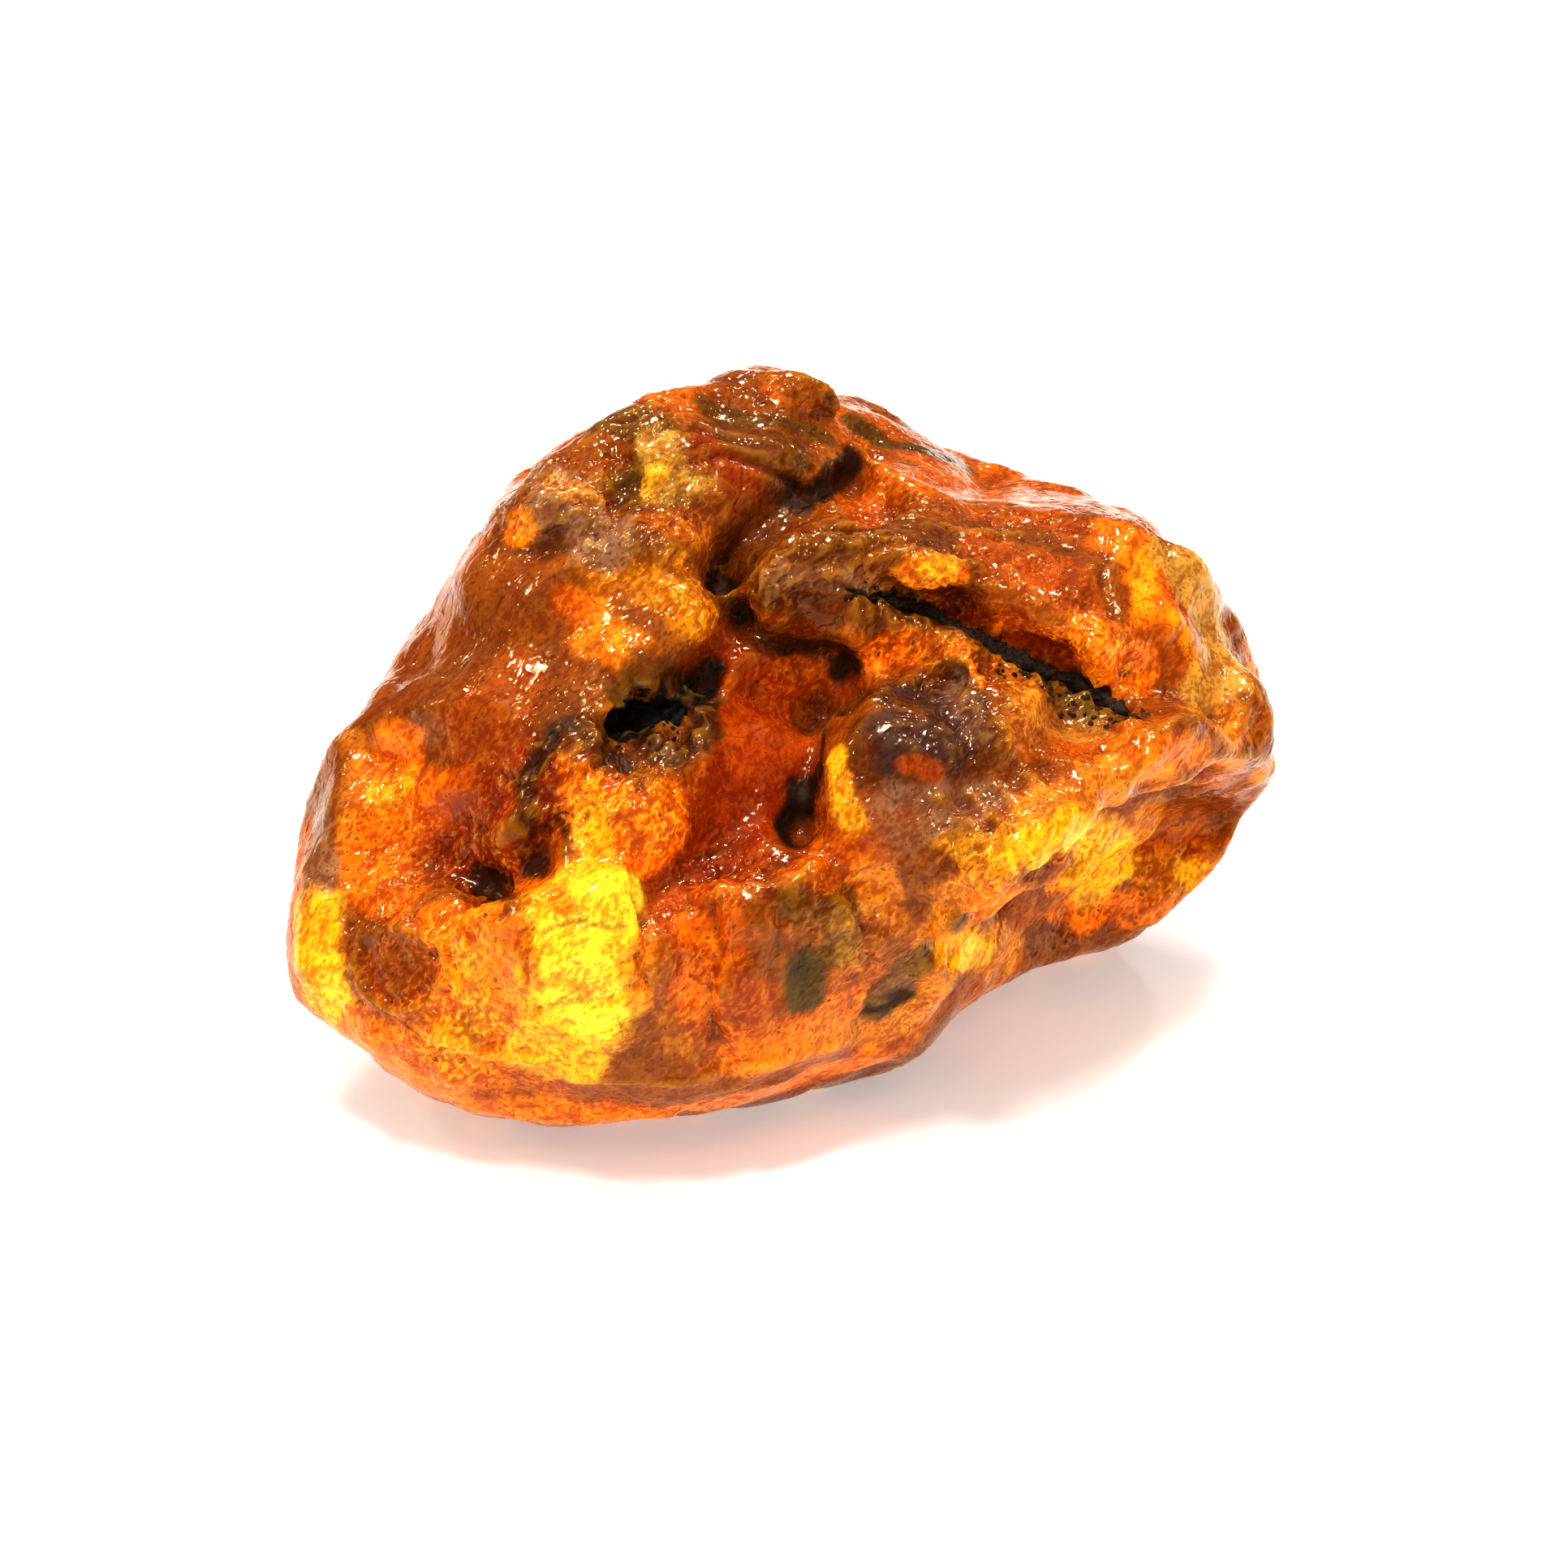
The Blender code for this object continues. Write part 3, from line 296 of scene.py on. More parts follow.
# Where each finish shows on the front: finish, path on the sheet, radius in mm, strength.
# A later line paints over the ones before it.
# The near-black patches along creases, cracks and the cleft are dark dirt and painted shade.
patches = [
    # left flank and shoulder
    ("rust", [(-12.0, 12.0), (-18.0, 8.0), (-24.0, 3.0)], 6.0, 0.9),
    ("brown", [(-13.5, 13.5), (-18.0, 9.0), (-23.0, 3.4)], 1.6, 0.35),
    ("ember", [(-16.4, 6.0), (-19.2, 3.6), (-18.0, 1.0)], 2.4, 0.4),
    ("brown", [(-13.6, 7.0), (-14.4, 3.4)], 1.4, 0.5),
    ("orange", [(-23.4, 1.8), (-25.6, -4.2)], 2.2, 1.0),
    ("orange", [(-21.4, -1.4), (-24.6, -6.4)], 2.4, 0.9),
    ("ember", [(-19.6, -0.4), (-21.6, -5.0)], 1.5, 0.7),
    ("clear", [(-24.8, -0.6), (-23.2, 0.4)], 1.0, 0.7),
    ("mauve", [(-24.6, 8.0), (-27.6, 3.4), (-28.6, -2.4), (-29.0, -7.4)], 1.3, 0.85),
    ("peach", [(-26.4, 2.6), (-27.0, -3.4)], 0.8, 0.5),
    # left hollow
    ("red", [(-17.4, -1.6), (-19.6, -4.6), (-17.2, -6.6)], 2.6, 1.0),
    ("brown", [(-18.0, -6.0)], 1.3, 0.5),
    ("dirtAndShade", [(-18.4, -6.2), (-17.2, -7.2)], 1.2, 0.75),
    ("red", [(-15.6, 1.6), (-15.4, -5.4)], 1.5, 0.9),
    ("dirtAndShade", [(-13.6, 3.0), (-15.6, 0.4), (-16.0, -2.8), (-15.4, -4.8)], 1.1, 0.85),
    ("dirtAndShade", [(-13.4, -1.6), (-13.1, -4.2)], 0.9, 0.75),
    ("red", [(-12.6, 1.0), (-13.6, -0.6)], 1.6, 0.95),
    ("orange", [(-12.9, 1.6)], 0.9, 0.7),
    # lower left: clear tip, brown patch in its ring, orange around
    ("orange", [(-20.4, -9.0), (-18.0, -13.0), (-20.0, -17.4)], 3.2, 1.0),
    ("orange", [(-26.4, -15.2), (-22.0, -17.6)], 2.2, 1.0),
    ("clear", [(-28.9, -8.2), (-28.3, -13.2)], 1.9, 1.0),
    ("glass", [(-28.3, -10.4), (-27.6, -12.6)], 1.0, 0.75),
    ("ember", [(-23.4, -11.4)], 2.6, 0.95),
    ("rust", [(-23.4, -11.4)], 1.9, 0.7),
    ("clear", [(-19.4, -10.6), (-18.6, -14.4), (-20.8, -16.4)], 1.3, 0.6),
    # middle: glossy orange lump and deep red valley
    ("red", [(-2.6, 6.0), (-1.6, 0.8), (-3.0, -3.6), (-6.2, -5.2)], 3.9, 1.0),
    ("ember", [(-3.6, 5.0), (-0.8, 5.2), (0.0, 3.2), (-2.6, 2.2)], 2.0, 0.85),
    ("orange", [(-11.6, -0.8), (-8.2, -0.4), (-7.2, -3.2), (-10.6, -4.2)], 2.2, 1.0),
    ("clear", [(-11.4, -3.4), (-11.9, -1.6)], 1.2, 0.8),
    ("red", [(-4.2, -3.2), (-5.4, -6.2)], 1.8, 0.9),
    ("brown", [(-6.8, -6.4), (-5.6, -8.4)], 1.2, 0.6),
    # the bright yellow window
    ("clear", [(-13.0, -7.2), (-12.0, -11.0), (-13.4, -15.6)], 3.3, 1.0),
    ("glass", [(-12.6, -8.0), (-11.8, -13.0)], 2.9, 1.0),
    ("glass", [(-9.4, -6.6), (-10.4, -8.6)], 1.4, 0.9),
    ("clear", [(-15.6, -16.8), (-12.6, -17.4)], 1.4, 0.8),
    ("orange", [(-16.4, -6.4), (-14.4, -6.6), (-13.4, -7.4)], 0.7, 0.7),
    ("orange", [(-8.2, -9.8), (-9.4, -11.4), (-9.0, -13.4)], 0.9, 0.7),
    ("orange", [(-15.8, -12.4), (-13.6, -12.0), (-12.2, -12.8)], 0.4, 0.6),
    # golden patch under the head
    ("rust", [(-12.4, 13.0), (-8.8, 13.0), (-5.8, 11.6), (-8.6, 8.8), (-12.4, 8.6)], 3.0, 0.95),
    ("honey", [(-11.0, 12.4), (-7.0, 12.4), (-5.4, 10.4)], 1.9, 0.9),
    ("orange", [(-12.6, 10.8), (-10.8, 8.6)], 1.6, 0.8),
    ("honey", [(-11.4, 9.4), (-9.2, 8.2)], 1.6, 0.9),
    ("clear", [(-6.0, 12.0), (-5.2, 9.8)], 1.0, 0.5),
    ("clear", [(-11.2, 9.2), (-10.2, 8.4)], 0.8, 0.5),
    ("brown", [(-12.2, 14.6), (-7.6, 14.6)], 1.1, 0.5),
    # head
    ("rust", [(-14.0, 19.0), (-6.0, 20.0), (-1.0, 19.0), (0.0, 24.4)], 4.4, 0.85),
    ("mauve", [(-16.8, 18.0), (-13.6, 17.2), (-11.2, 15.4)], 2.3, 0.9),
    ("peach", [(-14.4, 18.4), (-12.0, 17.6)], 1.0, 0.6),
    ("brown", [(-17.4, 15.2), (-14.6, 14.8)], 1.2, 0.7),
    ("olive", [(-10.0, 22.8), (-7.2, 21.2), (-6.6, 18.6), (-9.0, 18.0)], 2.0, 0.75),
    ("ochre", [(-7.6, 21.0), (-5.0, 19.6), (-7.4, 18.2)], 1.6, 0.85),
    ("clear", [(-7.8, 19.4), (-8.4, 18.0)], 0.7, 0.7),
    ("orange", [(-16.4, 15.9)], 1.2, 1.0),
    ("peach", [(-5.0, 15.6), (-3.6, 13.8)], 1.1, 0.6),
    ("brown", [(-3.4, 25.2), (0.6, 24.7), (3.8, 23.4)], 1.6, 0.6),
    ("orange", [(-1.0, 25.0), (1.4, 24.2)], 1.2, 0.6),
    ("red", [(-4.2, 20.8), (-1.4, 18.8), (-2.4, 16.2)], 2.0, 0.9),
    ("brown", [(-3.0, 21.6), (0.4, 20.6), (-0.6, 17.6)], 1.6, 0.95),
    ("dirtAndShade", [(4.0, 19.8), (1.6, 17.6), (-1.4, 15.4)], 1.2, 0.95),
    ("olive", [(4.4, 22.2), (7.6, 20.8), (11.0, 19.5)], 1.0, 0.9),
    ("dirtAndShade", [(5.6, 20.6), (8.0, 19.6)], 0.6, 0.5),
    ("olive", [(-4.8, 23.4), (-0.6, 22.4), (2.6, 21.2)], 0.8, 0.7),
    # slab
    ("rust", [(0.0, 15.0), (8.0, 15.0), (14.0, 16.0), (19.0, 13.6)], 4.2, 0.95),
    ("brown", [(-2.4, 14.4), (1.6, 15.2), (6.6, 15.8), (10.6, 14.6)], 2.3, 0.75),
    ("brown", [(-1.6, 12.0), (3.0, 11.4), (8.0, 10.0), (12.0, 8.4)], 1.5, 0.85),
    ("mauve", [(-1.0, 12.9), (3.6, 12.6), (8.6, 10.6)], 0.9, 0.6),
    ("ember", [(12.6, 14.4), (17.0, 13.0), (18.2, 10.8)], 2.0, 0.6),
    ("brown", [(13.0, 15.6), (17.0, 14.6)], 1.3, 0.45),
    ("rust", [(1.0, 25.0), (3.6, 24.0), (-2.0, 25.2)], 1.6, 0.8),
    ("ember", [(11.0, 17.0), (16.0, 16.4), (19.4, 15.2)], 1.2, 0.6),
    ("orange", [(7.8, 13.0), (10.6, 12.9)], 1.1, 1.0),
    ("clear", [(8.6, 13.0), (10.0, 13.0)], 0.6, 0.7),
    ("orange", [(20.6, 15.4), (22.2, 13.6), (22.4, 11.4)], 1.9, 1.0),
    ("clear", [(22.4, 13.8), (22.0, 11.4)], 1.0, 0.6),
    ("ochre", [(24.6, 13.6), (26.6, 9.4), (26.2, 5.6)], 2.3, 0.9),
    ("clear", [(24.6, 9.8), (25.4, 7.6)], 0.9, 0.4),
    # under the slab: red recess and orange lumps
    ("red", [(9.6, 11.2), (14.0, 9.6), (18.6, 7.6)], 1.5, 1.0),
    ("orange", [(13.6, 10.2), (16.6, 9.2)], 0.9, 0.8),
    ("orange", [(18.8, 8.8), (21.6, 7.0)], 1.7, 1.0),
    ("clear", [(20.6, 8.4)], 0.8, 0.5),
    ("dirtAndShade", [(-4.2, 12.2), (-2.2, 10.8)], 1.0, 1.0),
    ("olive", [(-3.6, 11.6)], 0.9, 0.5),
    ("dirtAndShade", [(4.2, 11.8), (8.9, 10.3), (15.2, 6.9), (21.6, 4.1)], 1.0, 0.85),
    ("brown", [(5.0, 10.2), (9.6, 8.6), (14.4, 6.2)], 1.3, 0.7),
    ("dirtAndShade", [(-1.2, 8.8), (2.0, 8.6), (5.0, 7.8)], 0.7, 0.75),
    ("brown", [(-2.6, 9.2), (2.6, 9.4)], 1.3, 0.7),
    # boss
    ("rust", [(8.0, 5.0), (14.0, 3.0), (12.0, -2.0)], 4.6, 0.8),
    ("orange", [(6.2, 8.2), (9.0, 8.2), (11.4, 6.6)], 1.5, 0.9),
    ("brown", [(5.6, 5.8), (9.4, 5.6), (11.6, 2.6), (8.4, 0.2), (5.2, 2.2)], 2.2, 0.9),
    ("plum", [(7.4, 5.4), (10.4, 4.8), (10.2, 2.4), (7.6, 2.6)], 2.3, 0.95),
    ("mauve", [(10.6, 6.0), (12.0, 3.0)], 0.8, 0.5),
    ("ember", [(7.6, 1.2), (9.4, 0.6)], 0.7, 0.7),
    ("mauve", [(7.0, -2.0), (11.8, -1.2)], 2.0, 0.6),
    ("clear", [(3.2, 1.8), (3.6, -1.0), (4.4, -2.6)], 0.8, 0.9),
    ("ochre", [(15.2, 5.0), (18.2, 3.4)], 1.6, 0.5),
    ("olive", [(15.2, 6.2), (18.6, 4.6)], 1.2, 0.6),
    ("peach", [(13.6, 7.4), (14.8, 3.2)], 1.5, 0.6),
    ("dirtAndShade", [(3.8, 7.4), (2.4, 3.4), (0.9, -1.0), (0.3, -3.8)], 1.0, 0.95),
    ("dirtAndShade", [(0.6, -2.2), (0.2, -4.4)], 1.1, 0.6),
    # ridge, its undercut and the right end
    ("peach", [(27.6, 3.6), (20.0, 0.6), (15.0, -3.4), (11.5, -6.6), (9.0, -10.6), (7.8, -14.6)], 1.8, 0.9),
    ("clear", [(10.6, -3.8), (14.2, -4.4)], 1.0, 0.5),
    ("clear", [(14.6, -4.4), (17.6, -2.8), (20.4, -3.8), (17.4, -6.4)], 1.6, 1.0),
    ("orange", [(12.6, -7.6), (18.6, -7.8), (23.0, -7.4)], 1.5, 0.9),
    ("honey", [(9.8, -9.6), (13.6, -10.6)], 1.9, 0.9),
    ("brown", [(16.2, -7.4), (20.8, -6.0)], 0.7, 0.6),
    ("honey", [(22.4, -1.6), (23.0, -5.6)], 1.5, 0.7),
    ("brown", [(24.6, -0.6), (27.4, -1.6)], 1.6, 0.6),
    ("clear", [(18.8, -3.6), (20.8, -4.8), (18.8, -6.4)], 1.6, 0.95),
    ("clear", [(10.2, -10.0), (12.2, -10.2)], 1.4, 1.0),
    ("dirtAndShade", [(10.9, -8.4)], 0.9, 0.85),
    ("clear", [(25.1, -5.4)], 1.3, 1.0),
    ("peach", [(29.0, 7.6), (30.0, 1.4)], 1.6, 0.85),
    ("mauve", [(29.8, 5.4), (30.2, 1.0)], 0.9, 0.5),
    ("orange", [(22.4, 2.4), (27.4, 1.2)], 1.1, 0.7),
    # front face
    ("peach", [(-7.6, -9.6), (-6.6, -15.6)], 1.4, 0.45),
    ("ember", [(-5.4, -8.0), (-4.4, -12.4), (-3.0, -14.0)], 3.0, 0.9),
    ("orange", [(-5.6, -9.0), (-5.2, -13.0)], 1.4, 0.6),
    ("orange", [(-2.2, -16.6), (3.6, -14.0)], 2.0, 0.75),
    ("olive", [(1.3, -11.2), (1.2, -12.8)], 1.5, 1.0),
    ("dirtAndShade", [(0.9, -11.6)], 1.0, 0.35),
    ("olive", [(1.2, -7.4), (3.6, -7.6), (3.2, -10.0)], 1.3, 0.65),
    ("ochre", [(3.6, -8.6), (4.4, -11.0)], 1.0, 0.5),
    ("olive", [(7.6, -11.0), (6.4, -12.8)], 1.7, 0.75),
    ("mauve", [(7.2, -12.4), (5.6, -14.0)], 1.1, 0.6),
    ("dirtAndShade", [(7.2, -13.0), (5.4, -14.0)], 0.9, 0.85),
    ("dirtAndShade", [(4.2, -13.4)], 0.4, 0.5),
    ("peach", [(6.6, -8.0), (5.4, -5.2)], 1.3, 0.7),
    ("peach", [(2.0, -15.0), (5.4, -15.6), (8.2, -14.6)], 1.1, 0.6),
    ("orange", [(-25.4, -16.6), (-20.0, -19.6), (-12.0, -20.4), (-3.0, -19.4), (5.0, -17.2)], 1.8, 0.9),
    # pit
    ("brown", [(-8.4, 6.8), (-5.6, 6.0), (-4.8, 3.4), (-8.6, 0.8), (-12.2, 2.6)], 1.4, 0.7),
    ("dirtAndShade", [(-10.0, 3.2), (-6.8, 4.4)], 2.9, 1.0),
    ("dirtAndShade", [(-10.8, 4.6), (-9.6, 2.4), (-7.0, 2.0), (-4.6, 3.4), (-4.6, 5.6), (-7.0, 6.8), (-9.8, 6.4),
              (-10.8, 4.6)], 1.0, 0.8),
    ("dirtAndShade", [(-12.0, 3.4), (-10.4, 1.4)], 1.2, 0.7),
    ("dirtAndShade", [(-6.2, 5.4), (-4.2, 6.9)], 1.2, 0.85),
]
# Where the skin is more wrinkled (above 0) or calmer (below): path on the sheet, radius in mm, amount
wrinkleZones = [
    ([(-1.4, 13.4), (3.6, 14.2), (9.0, 12.6)], 3.2, 0.65),
    ([(2.0, 16.6), (9.0, 16.6), (15.0, 15.6)], 2.6, 0.15),
    ([(-16.0, 18.0), (-11.6, 15.8)], 3.4, 0.55),
    ([(-9.0, 21.0), (-6.0, 18.6)], 3.0, 0.4),
    ([(-24.6, -11.0), (-20.6, -15.4)], 3.6, 0.6),
    ([(-12.0, -0.6), (-8.2, -2.0)], 2.8, 0.5),
    ([(-14.6, 0.6), (-18.6, -5.0)], 2.8, 0.45),
    ([(6.6, 7.8), (11.6, 6.0), (14.4, 3.0)], 2.8, 0.5),
    ([(8.6, 4.0), (10.6, 2.4)], 2.0, 0.4),
    ([(9.8, 8.8), (15.0, 6.8)], 1.8, 0.5),
    ([(10.6, -3.8), (14.2, -4.4), (18.4, -4.0)], 2.4, 0.5),
    ([(3.4, -8.4), (6.4, -12.6)], 2.8, 0.45),
    ([(-20.6, -9.0), (-16.8, -8.6)], 2.0, 0.4),
    ([(-24.6, -2.0), (-21.0, -5.6)], 2.4, 0.3),
    ([(-7.0, 14.6), (-5.0, 10.0)], 2.2, 0.3),
    ([(-3.6, -6.0), (2.6, -6.6)], 2.4, 0.3),
    ([(17.6, 10.6), (21.0, 8.0)], 2.2, 0.35),
    ([(-12.4, -9.0), (-12.0, -13.0)], 3.4, -0.25),
    ([(-18.0, 9.0), (-22.0, 4.0)], 5.0, -0.2),
    ([(21.0, 13.0), (26.0, 8.0)], 3.6, -0.25),
    ([(-2.0, 3.0), (-1.6, -2.0)], 3.0, -0.1),
]
# A patch's edge: size in mm of its bays, how far in mm it wanders, how much the mottle breaks it
patchEdge = {"size": 2.0, "reach": 0.9, "broken": 0.45}
# The finishes: colour, how weathered, how much painted glow comes out in place of light through the stone.
# "amber" and "warmAmber" lie between the others.
finishes = {
    "amber": ((0.47, 0.14, 0.014), 0.74, 0.12),
    "warmAmber": ((0.74, 0.20, 0.006), 0.64, 0.30),
    "rust": ((0.47, 0.145, 0.014), 0.82, 0.10),
    "red": ((0.46, 0.068, 0.002), 0.72, 0.19),
    "ember": ((0.68, 0.145, 0.004), 0.66, 0.30),
    "orange": ((0.98, 0.275, 0.006), 0.60, 0.60),
    "honey": ((0.82, 0.33, 0.012), 0.66, 0.46),
    "clear": ((1.0, 0.55, 0.018), 0.36, 0.80),
    "glass": ((1.0, 0.76, 0.06), 0.18, 1.0),
    "ochre": ((0.80, 0.45, 0.09), 0.86, 0.18),
    "peach": ((0.87, 0.34, 0.035), 0.80, 0.36),
    "brown": ((0.26, 0.078, 0.011), 0.88, 0.04),
    "mauve": ((0.54, 0.29, 0.16), 0.9, 0.04),
    "plum": ((0.14, 0.065, 0.050), 0.8, 0.0),
    "olive": ((0.18, 0.105, 0.010), 0.9, 0.03),
    # the near-black finish: dark dirt, and painted shade in the creases, cracks and hollows where it is
    # laid
    "dirtAndShade": ((0.014, 0.007, 0.004), 1.0, 0.0),
}

# How the finishes break up, with sizes in mm
paintLook = {
    "warmFields": ((7.5, 0.7), (2.9, 0.25)),    # noises that choose amber or warm amber: size, strength
    "mottle": ((1.5, 0.4), (0.7, 0.35)),
    "mottleWarp": (1.8, 1.2),
    "mottleStretch": 1.8,
    "raggedDirtAndShade": 2.4,                          # how much the mottle breaks a patch's edge
    "raggedEdge": 1.3,
    "wrinkledMean": 0.4,                        # wrinkling outside the zones
    "wrinkledSwing": 0.35,
    "wrinkledSize": 6.0,
}
# Painted shade darkens the hollows and a painted gold highlight lies on the crests: rounds of smoothing
# that tell how far a point lies in a hollow, the depths in mm over which its mark comes in, and the mark's
# strength
hollowLook = {
    "narrowRounds": 6,
    "broadRounds": 50,
    "narrowDepths": (0.02, 0.16),
    "narrowStrength": 0.34,
    "broadDepths": (0.15, 0.7),
    "broadStrength": 0.65,
    "edgeHeights": (0.02, 0.13),
    "leastDirtAndShade": 0.3,                           # share of the dirt and painted shade that stays on open skin
}

# Round the back, where the photo doesn't show it: finish, size of its fields in mm, how
# much noise it takes to show, strength
backFields = [
    ("rust", 12.0, -0.10, 0.8),
    ("brown", 10.0, 0.06, 0.6),
    ("ember", 9.0, 0.12, 0.6),
    ("ochre", 8.0, 0.22, 0.45),
    ("olive", 6.5, 0.32, 0.5),
    ("mauve", 7.5, 0.25, 0.5),
    ("honey", 8.5, 0.18, 0.45),
    ("clear", 6.5, 0.34, 0.45),
    ("dirtAndShade", 3.6, 0.40, 0.6),
]


def paintSkin(mesh):
    # each finish's share at the skin's points, and from them the tint and the other masks of the material
    points, normals = meshPoints(mesh), meshNormals(mesh)
    shares = {finish: np.zeros(len(points)) for finish in finishes}
    shares["warmAmber"] = smoothStep(-0.15, 0.25, layered(points, paintLook["warmFields"], 31))
    shares["amber"] = 1.0 - shares["warmAmber"]
    drawn = alongGrain(warped(points, *paintLook["mottleWarp"], 33), paintLook["mottleStretch"])
    mottle = layered(drawn, paintLook["mottle"], 36)
    broken = mottle * patchEdge["broken"]
    wander = noiseAt(points, patchEdge["size"], 21) * patchEdge["reach"]
    behind = 1.0 - smoothStep(-0.15, 0.35, normals @ np.array(frontToward))
    for i, (finish, size, threshold, strength) in enumerate(backFields):
        field = noiseAt(warped(points, size * 0.5, size * 0.3, 40 + i), size, 50 + i) + broken * 0.2
        share = smoothStep(threshold - 0.06, threshold + 0.22, field) * behind * strength
        paintOver(shares, finish, share)
    for finish, path, radius, strength in patches:
        gap = pathGap(points, skinPath(path)) + wander * min(1.0, radius / 2.0)
        soft = 1.0 - smoothStep(0.4, 1.5, gap / radius)
        ragged = paintLook["raggedDirtAndShade"] if finish == "dirtAndShade" else paintLook["raggedEdge"]
        share = smoothStep(0.15, 0.85, soft + broken * np.sqrt(soft) * ragged) * strength
        paintOver(shares, finish, share)
    wrinkled = noiseAt(points, paintLook["wrinkledSize"], 34) * paintLook["wrinkledSwing"]
    wrinkled += paintLook["wrinkledMean"]
    for path, radius, amount in wrinkleZones:
        gap = pathGap(points, skinPath(path)) / radius
        wrinkled += amount * (1.0 - smoothStep(0.5, 1.4, gap))
    return shares, {"mottle": mottle + 0.5, "wrinkled": np.clip(wrinkled, 0.12, 1.0)}


def paintOver(shares, finish, share):
    for other in shares.values():
        other *= 1.0 - share
    shares[finish] += share


def storeMask(mesh, name, values):
    layer = mesh.attributes.new(name, "FLOAT", "POINT")
    layer.data.foreach_set("value", np.clip(values, 0.0, 1.0).astype(np.float32))


def storeTint(mesh, colours):
    layer = mesh.attributes.new("tint", "FLOAT_COLOR", "POINT")
    opaque = np.column_stack([colours, np.ones(len(colours))])
    layer.data.foreach_set("color", opaque.astype(np.float32).ravel())


class Wire:
    # a node's output, on which Python's operators add Math nodes
    def __init__(self, bench, socket):
        self.bench, self.socket = bench, socket

    def maths(self, operation, first, second):
        return self.bench.add("ShaderNodeMath", {"operation": operation}, {0: first, 1: second})

    def __add__(self, other):
        return self.maths("ADD", self, other)

    def __sub__(self, other):
        return self.maths("SUBTRACT", self, other)

    def __rsub__(self, other):
        return self.maths("SUBTRACT", other, self)

    def __mul__(self, other):
        return self.maths("MULTIPLY", self, other)

    def __pow__(self, other):
        return self.maths("POWER", self, other)

    __radd__ = __add__
    __rmul__ = __mul__


class Bench:
    # the node tree of a material or of Geometry Nodes, and the tools to fill it
    def __init__(self, name, kind="material"):
        if kind == "geometry":
            self.tree = bpy.data.node_groups.new(name, "GeometryNodeTree")
            return
        self.material = bpy.data.materials.new(name)
        self.material.use_nodes = True
        self.tree = self.material.node_tree
        self.tree.nodes.clear()

    def add(self, kind, settings=None, sockets=None, output=0):
        node = self.tree.nodes.new(kind)
        for name, value in (settings or {}).items():
            if name == "stops":
                ramp = node.color_ramp
                while len(ramp.elements) < len(value):
                    ramp.elements.new(1.0)
                for element, (place, colour) in zip(ramp.elements, value):
                    element.position = place
                    element.color = (*colour, 1.0)
            else:
                setattr(node, name, value)
        for key, value in (sockets or {}).items():
            if isinstance(value, Wire):
                self.tree.links.new(value.socket, node.inputs[key])
            else:
                node.inputs[key].default_value = value
        return Wire(self, node.outputs[output]) if output is not None else None

    def mask(self, name):
        return self.add("ShaderNodeAttribute", {"attribute_name": name}, output="Fac")

    def step(self, value, low, high):
        # 0 below low, 1 above high, smooth between
        return self.add("ShaderNodeMapRange", {"interpolation_type": "SMOOTHSTEP"},
                        {"Value": value, "From Min": low, "From Max": high})

    def crest(self, value, sharpness):
        # 1 along the lines where a noise is 0.5, falling to 0 beside them
        away = self.add("ShaderNodeMath", {"operation": "ABSOLUTE"}, {0: value - 0.5})
        return self.add("ShaderNodeMath", {"operation": "MAXIMUM"}, {0: 1.0 - away * sharpness, 1: 0.0})

    def noise(self, place, size, detail=3.0, roughness=0.55, distortion=0.0):
        # about 0.5 on average, with bumps of this size in mm
        return self.add("ShaderNodeTexNoise", {}, {
            "Vector": place, "Scale": 1.0 / (size * millimetre), "Detail": detail,
            "Roughness": roughness, "Distortion": distortion})

    def blend(self, share, under, over, mode="MIX"):
        return self.add("ShaderNodeMix", {"data_type": "RGBA", "blend_type": mode},
                        {0: share, 6: under, 7: over}, output=2)

    def finish(self, surface, volume=None):
        sockets = {"Surface": surface}
        if volume:
            sockets["Volume"] = volume
        node = self.tree.nodes.new("ShaderNodeOutputMaterial")
        for key, value in sockets.items():
            self.tree.links.new(value.socket, node.inputs[key])
        return self.material


# The amber's body, gloss and fine marks, with painted shade, painted highlights and painted glow
amberLook = {
    "speckAndShade": (0.13, 0.024, 0.002),
    # colour of the painted highlights on the crests and of the painted glints
    "gold": (1.0, 0.52, 0.035),
    "deep": (0.76, 0.58, 0.45),     # multiplies a colour where the amber is thicker or dirtier
    "glowStrength": 1.0,
    "absorption": (0.98, 0.80, 0.0),
    "absorptionDensity": 120.0,
    "transmission": 0.8,
    "ior": 1.54,
    "grainTurn": (-0.40, 0.744, 0.0),
    "grainStretch": 1.5,
    "shine": (1.0, 0.82, 0.58),
    "reflection": 0.5,
    "fineSize": 0.34,               # mm, specks
    "rippleSize": 0.74,             # mm, small wrinkles
    "veinSize": 2.8,                # mm, between fine dark lines
    "bumpHeight": 0.22,             # mm
}


